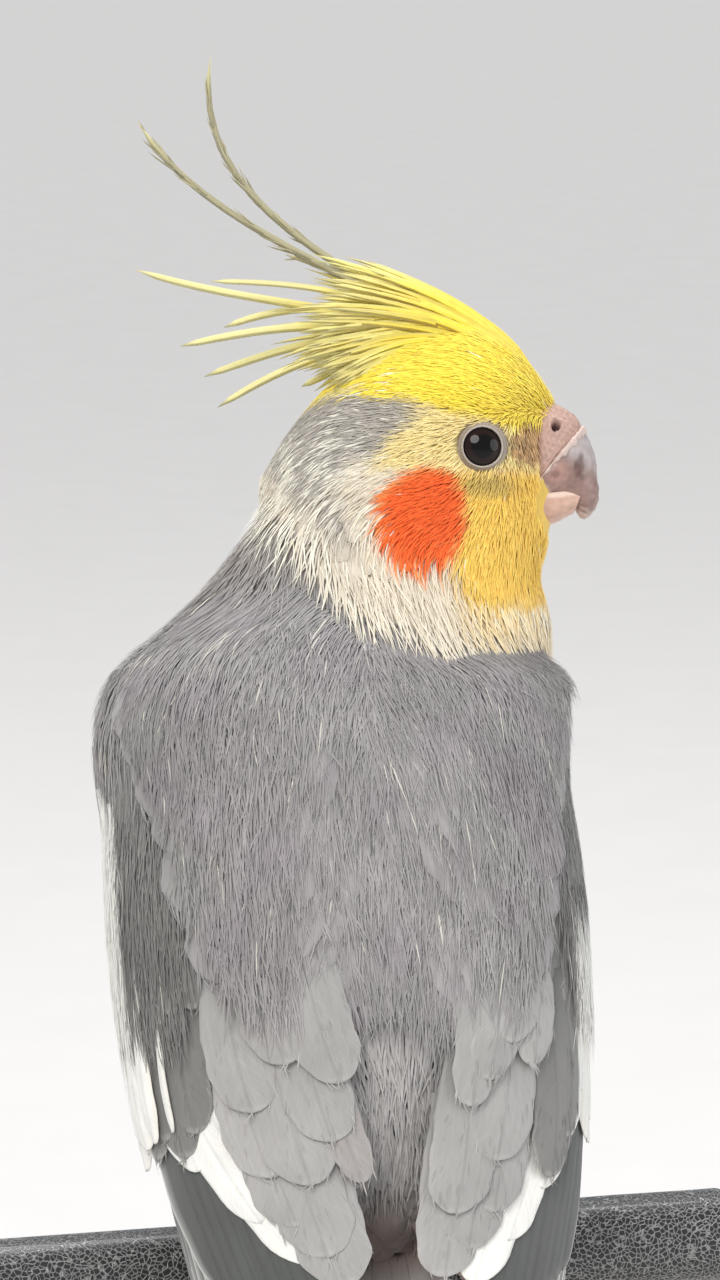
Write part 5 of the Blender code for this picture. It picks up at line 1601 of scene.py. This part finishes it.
def capeRows(edge):
    # staggered rows up from the scalloped edge; the highest row is made first and laid last
    rows = []
    for k in range(cape["rows"] - 1, -1, -1):
        for a in np.arange((k % 2) * 0.5 * cape["columnStep"], cape["side"], cape["columnStep"]):
            angle = a + rng.normal(0, 1.2)
            s = np.interp(abs(angle), edge[:, 0], edge[:, 1]) + cape["rowStep"] * k + rng.normal(0, 0.9)
            if s > cape["lastTip"] or (k > 0 and angle > 57):
                continue
            root = (min(s + rng.uniform(*cape["length"]), cape["top"]), angle * (1 - 0.1 * (s < 10)))
            rise = capeHeight(s, abs(angle)) + 0.25 + rng.normal(0, 0.08)
            rows.append((root, (s, angle), rng.uniform(*cape["half"]), rise))
    return rows[::-1]


def makeCape(side, label):
    # broad soft vanes with thin pale rims, and barbs round them
    roots, tips, half, lift = rowArrays(capeRows(cape[label]))
    lifts = np.stack([capeHeight(roots[:, 0], np.abs(roots[:, 1])) - 1.6, lift], axis=1)
    top, bottom, grid, place = hullFeathers(side, roots, tips, half, lifts, 0.0, 0.66, capeTable,
                                            bow=0, rows=14, thick=0.2, cup=0.35, wave=0.12, dip=0.45,
                                            under=cape["sunk"])
    count = len(roots)
    s, a, q, t = np.moveaxis(place, -1, 0)
    tone = capeTone(top, s, np.abs(a)) * (1 + 0.025 * rng.normal(size=(count, 1, 1, 1)))
    tone = mixed(tone, markings["rim"], 0.04 * np.clip(ramp(np.abs(q), 0.8, 1) + ramp(t, 0.92, 1), 0, 1))
    flat = grid.reshape(count, -1, 3)
    middle = (top + bottom).reshape(count, -1, 3).mean(axis=1) / 2
    batch = Batch()
    sheet = bakePlace(middle)[:, None] + flat[..., :2] * 0.0003
    batch.addVanes(top, bottom, tone.reshape(count, -1, 3), flat, sheet)
    batch.lay(f"capeFeathers{label.title()}", softFeather, "feathers")
    batch = Batch()
    rimBarbs(batch, top, tone, cape["rimBarbs"], cape["rimLength"], cape["rimHalf"])
    batch.lay(f"capeRims{label.title()}", hairFeather, "feathers", smooth=False)


def hullBarbs(name, side, table, s, a, length, half, lift, colour):
    # fine barbs over the vanes, straight down the hull, drifting outwards at the shoulder
    count = len(s)
    length, half = rng.uniform(*length, count), rng.uniform(*half, count)
    stations = np.linspace(0, 1, 4)
    wander = rng.normal(0, 0.13, count) + 0.22 * ramp(s, 6, 34) - 0.08 * ramp(s, 4, -10)
    run = length[:, None] * stations
    angle = a[:, None] + np.degrees(run * np.sin(wander)[:, None] / 27)
    place = s[:, None] - run * np.cos(wander)[:, None]
    point, normal, _, _ = hullFrame(sided(table, side), place, np.radians(angle))
    sunk = cape["sunk"] * (1 - faceFree(bodyWorld(point * [side, 1, 1])))
    height = lift(place, np.abs(angle)) - sunk + 0.35 * stations**0.8
    height = height + rng.uniform(-0.2, 0.15, count)[:, None]
    path = bodyWorld((point + normal * height[..., None]) * [side, 1, 1])
    normal = (normal * [side, 1, 1]) @ bodyTurn.T
    tone = colour(path[:, 1], s, np.abs(a)) * (1 + 0.045 * rng.normal(size=(count, 1)))
    tone = mixed(tone, markings["napeStreak"], 0.5 * (rng.random(count) < 0.012 + 0.012 * ramp(s, 20, 40)))
    # one barb in fifty is darkened as painted shade, for the shaded gaps between feathers
    tone = mixed(tone, markings["featherGapShade"], 0.6 * (rng.random(count) < 0.02))
    batch = Batch()
    addStrands(batch, path[:, 0], path, normal, half, cape["barbDeep"], tone, length)
    batch.lay(name, hairFeather, "feathers", smooth=False)


def capeBarbs(side, label):
    # barbs from the scalloped edge up to the neck, across the spine by two degrees
    a, share = spreadOver((-2, 0), (60, 1), np.arange(cape["strands"]))
    low = np.interp(np.abs(a), cape[label][:, 0], cape[label][:, 1])
    hullBarbs(f"capeBarbs{label.title()}", side, capeTable, low + 1 + (46 - low) * share, a,
              cape["strandLength"], cape["strandHalf"], lambda s, a: capeHeight(s, a) + 0.1, capeTone)


def covertBarbs(side, label):
    # the same over the wing coverts, from the cape's edge to the wing's bend
    edge, low = wingLook["whiteFrom"][label], wingLook["whiteBelow"][label]
    a, s = spreadOver((40, -15), (102, 33), np.arange(wingLook["barbs"]))
    capeEnd = np.interp(a, cape[label][:, 0], cape[label][:, 1])
    keep = (s < capeEnd + 6) & (s > -15 + 25 * ramp(a, 60, 44)) | (a > 62)
    places, lifts = np.array([(row[0], row[5]) for row in wingLook["coverts"]]).T

    def lift(s, a):
        return np.interp(s, places, lifts) - 0.1 - 1.5 * ramp(s, 22, 33)

    def colour(p, s, a):
        tone = mixed(np.broadcast_to(markings["covert"], p.shape), markings["covertSoft"], ramp(s, 0, 16))
        tone = tone * (1 + 0.1 * cloud(p, 14.0, 22))[..., None]
        return mixed(tone, markings["white"], 0.9 * ramp(a, edge - 2, edge + 1) * ramp(s, low + 4, low - 2))

    hullBarbs(f"covertBarbs{label.title()}", side, wingTable, s[keep], a[keep], wingLook["barbLength"],
              wingLook["barbHalf"], lift, colour)


for side, label in ((1, "right"), (-1, "left")):
    wingBed(side, label)
    makeWing(side, label)
    makeCape(side, label)
    capeBarbs(side, label)
    covertBarbs(side, label)
print("wings done")

# tail

tailLook = {"pairs": 6, "length": 150.0, "step": 0.085, "thick": 0.45, "root": -46, "outer": 5.8,
            "sheetCells": 5}


def straightFeather(x, xTip, y, yTip, start, length, inner, outer, roll, blunt, rows=30):
    # a centre line from start down the axis, columns sideways, edges raised by roll times their reach
    t = (1 - (1 - np.linspace(0, 1, rows)) ** 1.6)[:, None]
    q = np.array(wingLook["columns"])
    reach = np.where(q < 0, inner, outer) * q * tipShape(t, blunt)
    depth = y + (yTip - y) * t + np.abs(reach) * roll - 0.1 * shaftBump(q)
    top = np.stack([x + (xTip - x) * t + reach, depth, start - length * t + 0 * q], axis=-1)
    bottom = top + np.array([0, tailLook["thick"], 0])
    grid = np.stack(np.broadcast_arrays(reach, length * t, rng.random() * 90), axis=-1)
    return bodyWorld(top)[None], bodyWorld(bottom)[None], grid[None], q + 0 * t, t + 0 * q


def makeTail():
    # the long pairs, each lower and shorter than the one inside it, then coverts above and below their roots
    batch = Batch()
    index = 0

    def lay(tone, *shape):
        nonlocal index
        top, bottom, grid, q, t = straightFeather(*shape)
        rim = np.clip(ramp(np.abs(q), 0.75, 1) + ramp(t, 0.96, 1), 0, 1) * 0.3
        base = mixed(np.broadcast_to(tone, q.shape + (3,)), markings["tailBase"], ramp(t, 0.25, 0.0))
        colour = mixed(base, markings["white"], rim * ramp(t, 0.3, 0.6)).reshape(1, -1, 3)
        flat = grid.reshape(1, -1, 3)
        half = max(np.abs(flat[..., 0]).max(), 1)
        cell = bakeCells(np.full((1, 1), index), tailLook["sheetCells"], flat, half, flat[..., 1].max())
        index += 1
        batch.addVanes(top, bottom, colour, flat, cell)

    root, outer = tailLook["root"], tailLook["outer"]
    for k in range(tailLook["pairs"]):
        length = tailLook["length"] * (1 - tailLook["step"] * k)
        tone = markings["primary"] if k else markings["covert"]
        inner = 1.0 + k if k else 6.0
        for side in (1, -1):
            y = -2.4 + 0.9 * k - (0.9 if side > 0 and k == 0 else 0)
            halves = (inner, outer)[::side]
            lay(tone, side * (1.2 + k), side * (1.4 + 1.5 * k), y, y - 5, root, length, *halves, 0.12, 0.62)
    for i in range(3):
        x, off, low = (i - 1) * 5.2, abs(i - 1), 0.5 * (i % 2)
        lay(markings["rump"], x, 1.2 * x, -3.4, -6.6 - low, root, 34 - 3 * off, 4.4, 4.4, 0.1, 0.7)
        lay(markings["rump"], x, 1.2 * x, 3.6, 1.4 + low, root, 52 - 5 * off, 4.4, 4.4, -0.1, 0.7)
    batch.lay("tailFeathers", stiffFeather, "feathers", ("tail",))


makeTail()
print("tail done")

# legs and claws

legLook = {
    "side": 12.5, "perch": (10.0, 146.0), "perchRadius": 7.0, "gap": 0.3,
    "thigh": (13.1, 8.5, 165.5), "thighHalf": (7.2, 8.5, 10.5), "shankTop": 12.0,
    "shankRadius": (2.4, 1.95, 2.2),
    # name, way round the bar (1 front), splay at the root and at the tip, sweep in degrees
    "toes": (("inner_front", 1, -1.6, -4.2, 88), ("outer_front", 1, 1.8, 4.6, 104),
             ("inner_back", -1, -1.6, -4.0, 78), ("outer_back", -1, 1.8, 4.8, 98)),
    "toeRadius": (1.75, 1.3), "shankScutes": 12, "toeScutes": 16,
    "puff": 3000, "puffLength": (4.0, 8.0), "puffHalf": (0.1, 0.2), "puffDeep": 0.04,
    "skin": paint(150, 132, 128), "scale": paint(176, 160, 152),
    "claw": paint(52, 46, 43), "clawTip": paint(26, 23, 22),
}


def tubeRings(centre, up, across, radius):
    # circles of the given radii round a path, spanned by two directions at each station
    phi = np.linspace(0, 2 * pi, 20, endpoint=False)
    ring = up[:, None] * np.cos(phi)[:, None] + across[:, None] * np.sin(phi)[:, None]
    return centre[:, None] + ring * np.asarray(radius)[..., None]


def toePath(side, turn, reach, across):
    # on a circle round the bar's axis, from the top round to the front or the back
    y, z = legLook["perch"]
    turn = np.radians(turn)
    out = np.stack([0 * turn, np.cos(turn), np.sin(turn)], axis=-1)
    middle = np.array([side * legLook["side"], y, z])
    return middle + out * reach[:, None] + np.array([side, 0, 0]) * across[:, None], out


def legTubes(side):
    # the shank from the thigh down to the bar, and the toes round it: path, outward direction, radius, scutes
    y, z = legLook["perch"]
    top = z + legLook["perchRadius"] + 2.2
    t = np.linspace(0, 1, 60)
    line = np.stack([side * legLook["side"] + 0 * t, y - 0.5 + 0.5 * t,
                     top + legLook["shankTop"] * (1 - t) - 0.6 * t], axis=-1)
    radius = np.interp(t, (0, 0.5, 1), legLook["shankRadius"])
    yield line, np.tile([0, 1.0, 0], (60, 1)), radius, t * legLook["shankScutes"]
    for name, way, splay, splayEnd, sweep in legLook["toes"]:
        t = np.linspace(0, 1, 56)
        radius = legLook["toeRadius"][0] + (legLook["toeRadius"][1] - legLook["toeRadius"][0]) * t
        line, out = toePath(side, 90 - way * sweep * t, legLook["perchRadius"] + legLook["gap"] + radius,
                            splay + (splayEnd - splay) * t)
        pads = 1 + 0.07 * np.sin(t * pi * 5) ** 2
        yield line, out, radius * pads * np.minimum(1, 0.5 + 6 * (1 - t)), t * legLook["toeScutes"]


def makeClaws(side, label):
    # curved cones that go on round the bar from the toes
    t = np.linspace(0, 1, 26)
    radius = 0.98 - 0.9 * t
    reach = legLook["perchRadius"] + legLook["gap"] + radius + 0.45 * (1 - t) + 0.88 * np.sin(pi * t)
    for name, way, splay, splayEnd, sweep in legLook["toes"]:
        line, out = toePath(side, 90 - way * (sweep + 2.5 + 35 * t), reach, splayEnd * (1 + 0.06 * t))
        rings = tubeRings(line, out * 1.15, np.tile([0.8, 0, 0], (26, 1)), radius[:, None])
        tone = mixed(legLook["claw"], legLook["clawTip"], t)[:, None] + np.zeros(rings.shape)
        layLoft(f"claw{label}{name.title().replace('_', '')}", rings, clawFinish,
                (f"claw_{label.lower()}_{name}",), tone)


def makeLeg(side, label):
    # every scute swells its tube towards its lower edge and is paler there
    points, faces, tones, size = [], [], [], 0
    for line, up, radius, scutes in legTubes(side):
        saw = scutes % 1
        rings = tubeRings(line, up, np.tile([1.0, 0, 0], (len(line), 1)),
                          (radius * (0.955 + 0.09 * saw))[:, None])
        shade = mixed(legLook["skin"], legLook["scale"], saw)
        tones += [np.repeat(shade, rings.shape[1], axis=0), shade[:1], shade[-1:]]
        loft, corners = closedLoft(rings)
        points.append(loft)
        faces += [part + size for part in corners]
        size += len(loft)
    layPiece(f"foot{label}", np.concatenate(points), byCorners(faces), footFinish,
             (f"leg_{label.lower()}",), np.concatenate(tones))
    makeClaws(side, label)


def thighCoat(side, label):
    # loose downward barbs over the thigh, thinning out over the top of the shank
    centre, half = np.array(legLook["thigh"]) * [side, 1, 1], np.array(legLook["thighHalf"]) - 0.4
    phi, polar = np.meshgrid(np.linspace(0, 2 * pi, 40, endpoint=False), np.linspace(0.03, pi - 0.03, 30))
    ball = np.stack([np.sin(polar) * np.cos(phi), np.sin(polar) * np.sin(phi), np.cos(polar)], axis=-1)
    core = centre + ball * half
    # the core takes the body's tone darkened by a fifth, as painted shade under the barbs
    layLoft(f"thighCore{label}", core, softFeather, (), bodyTone(core) * 0.8)
    direction = unit(rng.normal(size=(legLook["puff"], 3)))
    direction = direction[direction[:, 2] < 0.75]
    count = len(direction)
    root, normal = centre + direction * half, unit(direction / half)
    down = np.array([0, -0.12, -1.0]) + 0.25 * rng.normal(size=(count, 3))
    down = unit(down - normal * dot(down, normal) + normal * 0.12)
    length = rng.uniform(*legLook["puffLength"], count)
    t = np.linspace(0, 1, 4)
    path = root[:, None] + down[:, None] * (length[:, None] * t)[..., None]
    inward = (centre * [1, 1, 0] - path * [1, 1, 0]) * 0.25
    path = path + inward * (t**2)[None, :, None] * ramp(centre[2] - path[..., 2], 2, 14)[..., None]
    wide = rng.uniform(*legLook["puffHalf"], count)
    tone = bodyTone(root) * (1 + 0.08 * rng.normal(size=(count, 1)))
    batch = Batch()
    addStrands(batch, root, path, normal[:, None], wide, legLook["puffDeep"], tone, length)
    batch.lay(f"thighBarbs{label}", hairFeather, "feathers", smooth=False)


for side, label in ((1, "Right"), (-1, "Left")):
    makeLeg(side, label)
for side, label in ((1, "Right"), (-1, "Left")):
    thighCoat(side, label)
print("legs done")

# perch and stand

standLook = {
    "perchHalf": 60.0, "perchRadius": 7.0, "baseRadius": 64.0, "baseHeight": 12.0, "baseCentre": (0.0, -12.0),
    "rodRadius": 4.0, "rodLow": 12.3, "rodHigh": 138.7, "rodPlace": (0.0, 10.0),
}


def turnedShape(profile, around, place):
    # a profile of reach against height, turned about an upright axis
    profile = np.array(profile, float)
    phi = np.linspace(0, 2 * pi, around, endpoint=False)
    circle = np.stack([np.cos(phi), np.sin(phi)], axis=-1)
    flat = profile[:, :1, None] * circle + np.array(place)
    return np.concatenate([flat, np.broadcast_to(profile[:, 1, None, None], flat.shape[:2] + (1,))], axis=-1)


def rounded(corners, radius, steps=6):
    # each inner corner of an open profile becomes a quadratic curve, this far before and after it
    corners = np.array(corners, float)
    made = [corners[:1]]
    t = np.linspace(0, 1, steps)[:, None]
    for before, at, after in zip(corners, corners[1:], corners[2:]):
        cut = min(radius, 0.45 * np.linalg.norm(at - before), 0.45 * np.linalg.norm(after - at))
        start, end = (at + (other - at) / np.linalg.norm(other - at) * cut for other in (before, after))
        made.append((1 - t) ** 2 * start + 2 * t * (1 - t) * at + t * t * end)
    return np.concatenate(made + [corners[-1:]])


def makeBase():
    radius, height = standLook["baseRadius"] - 0.2, standLook["baseHeight"] - 0.1
    profile = rounded([(0.4, 0), (radius - 1.2, 0), (radius, 1.2), (radius, 5.0), (radius - 3.2, 6.2),
                       (radius - 4.4, 8.2), (radius - 8.3, 10.6), (radius - 10.8, height), (0.4, height)],
                       1.4)
    base = turnedShape(profile, 160, standLook["baseCentre"])
    layLoft("standBase", base, woodFinish, ("stand_base",))


def makeRod():
    # a stepped foot, the plain rod and a collar under the bar
    r, low, high = standLook["rodRadius"], standLook["rodLow"], standLook["rodHigh"]
    profile = rounded([(0.3, low - 0.1), (r + 4.5, low - 0.1), (r + 4.5, low + 1.6), (r + 2.2, low + 2.6),
                       (r + 1.0, low + 6.5), (r - 0.1, low + 7.2), (r - 0.1, high - 5.0),
                       (r + 0.6, high - 4.4), (r + 0.6, high - 0.6), (0.3, high - 0.4)], 0.5)
    layLoft("standRod", turnedShape(profile, 72, standLook["rodPlace"]), steelFinish, ("stand_rod",))


def makePerch():
    # a round bar with softened ends, a little lumpy under its coating
    end, r = standLook["perchHalf"], standLook["perchRadius"]
    profile = rounded([(0.3, -end), (r - 1.0, -end), (r - 0.02, -end + 1.2), (r - 0.02, end - 1.2),
                       (r - 1.0, end), (0.3, end)], 1.0)
    reach, place = (np.interp(np.linspace(0, 1, 240), np.linspace(0, 1, len(profile)), values)
                    for values in profile.T)
    phi = np.linspace(0, 2 * pi, 64, endpoint=False)
    ring = np.stack([place[:, None] + 0 * phi, reach[:, None] * np.cos(phi), reach[:, None] * np.sin(phi)],
                    axis=-1)
    lump = cloud(ring, 5.0, 61) * 0.10 * ramp(reach, 3, 6.5)[:, None]
    ring[..., 1:] *= (1 - np.abs(lump) / r)[..., None]
    layLoft("perchBar", ring + [0, *legLook["perch"]], barFinish, ("perch",))


makeBase()
makeRod()
makePerch()
print("stand done")

# camera, light and floor

view = {
    "azimuth": -14.0, "elevation": 10.0, "target": (0.001, 0.0, 0.240), "distance": 0.700,
    "sensor": 36, "lens": 36 * 4970 / 1280,  # focal length in pixels over the photo's longer side
}
studio = {
    "world": (0.93, 0.95, 1.0, 1), "worldStrength": 0.5,
    "sunFrom": (-0.65, -0.85, 0.95), "sun": 2.1, "sunAngle": 35, "sunColour": (1, 0.98, 0.95),
    # place, target, size, power, colour
    "fill": ((1.0, -0.7, 0.5), (0, 0, 0.22), 0.9, 4.5, (0.95, 0.97, 1)),
    "top": ((0.1, 0.5, 1.2), (0, 0, 0.24), 0.6, 7, (1, 1, 1)),
    "floor": ((0.72, 0.71, 0.695, 1), (0.76, 0.75, 0.735, 1)), "floorReach": 9.0,
}


def facing(place, target):
    # the turn that points a light's or camera's -Z from the place to the target
    return (Vector(place) - Vector(target)).to_track_quat("Z", "Y").to_euler()


def makeCamera():
    az, el = radians(view["azimuth"]), radians(view["elevation"])
    back = Vector((sin(az) * cos(el), -cos(az) * cos(el), sin(el)))
    camera = bpy.data.objects.new("camera", bpy.data.cameras.new("camera"))
    camera.data.lens = view["lens"]
    camera.data.sensor_width = view["sensor"]
    camera.data.clip_start = 0.01
    camera.location = Vector(view["target"]) + back * view["distance"]
    camera.rotation_euler = facing(back, (0, 0, 0))
    scene.collection.objects.link(camera)
    scene.camera = camera


def addLight(name, kind, power, colour):
    light = bpy.data.objects.new(name, bpy.data.lights.new(name, kind))
    light.data.energy = power
    light.data.color = colour
    scene.collection.objects.link(light)
    return light


def areaLight(name):
    place, target, size, power, colour = studio[name]
    light = addLight(name, "AREA", power, colour)
    light.data.shape = "DISK"
    light.data.size = size
    light.location = place
    light.rotation_euler = facing(place, target)


def makeFloor():
    # a plain pale sheet with a faint, slow change of tone
    made, tree, shader = startMaterial("paleFloor", Roughness=0.75)
    place = node(tree, "ShaderNodeTexCoord").outputs["Object"]
    grain = node(tree, "ShaderNodeTexNoise", place, Scale=30.0, Detail=3.0)
    tint = node(tree, "ShaderNodeMix", data_type="RGBA", Factor=grain, A=studio["floor"][0],
                B=studio["floor"][1])
    join(tree, tint.outputs["Result"], shader.inputs["Base Color"])
    mesh = bpy.data.meshes.new("floor")
    reach = studio["floorReach"]
    mesh.from_pydata([(-reach, -reach, 0), (reach, -reach, 0), (reach, reach, 0), (-reach, reach, 0)], [],
                     [(0, 1, 2, 3)])
    mesh.materials.append(made)
    floor = bpy.data.objects.new("floor", mesh)
    scene.collection.objects.link(floor)


def makeStudio():
    world = bpy.data.worlds.new("studio")
    world.use_nodes = True
    sky = world.node_tree.nodes["Background"]
    sky.inputs["Color"].default_value = studio["world"]
    sky.inputs["Strength"].default_value = studio["worldStrength"]
    scene.world = world
    sun = addLight("key", "SUN", studio["sun"], studio["sunColour"])
    sun.data.angle = radians(studio["sunAngle"])
    sun.rotation_euler = facing(studio["sunFrom"], (0, 0, 0))
    areaLight("fill")
    areaLight("top")
    makeFloor()
    scene.view_settings.view_transform = "Standard"


makeCamera()
makeStudio()
print("camera and light ready")
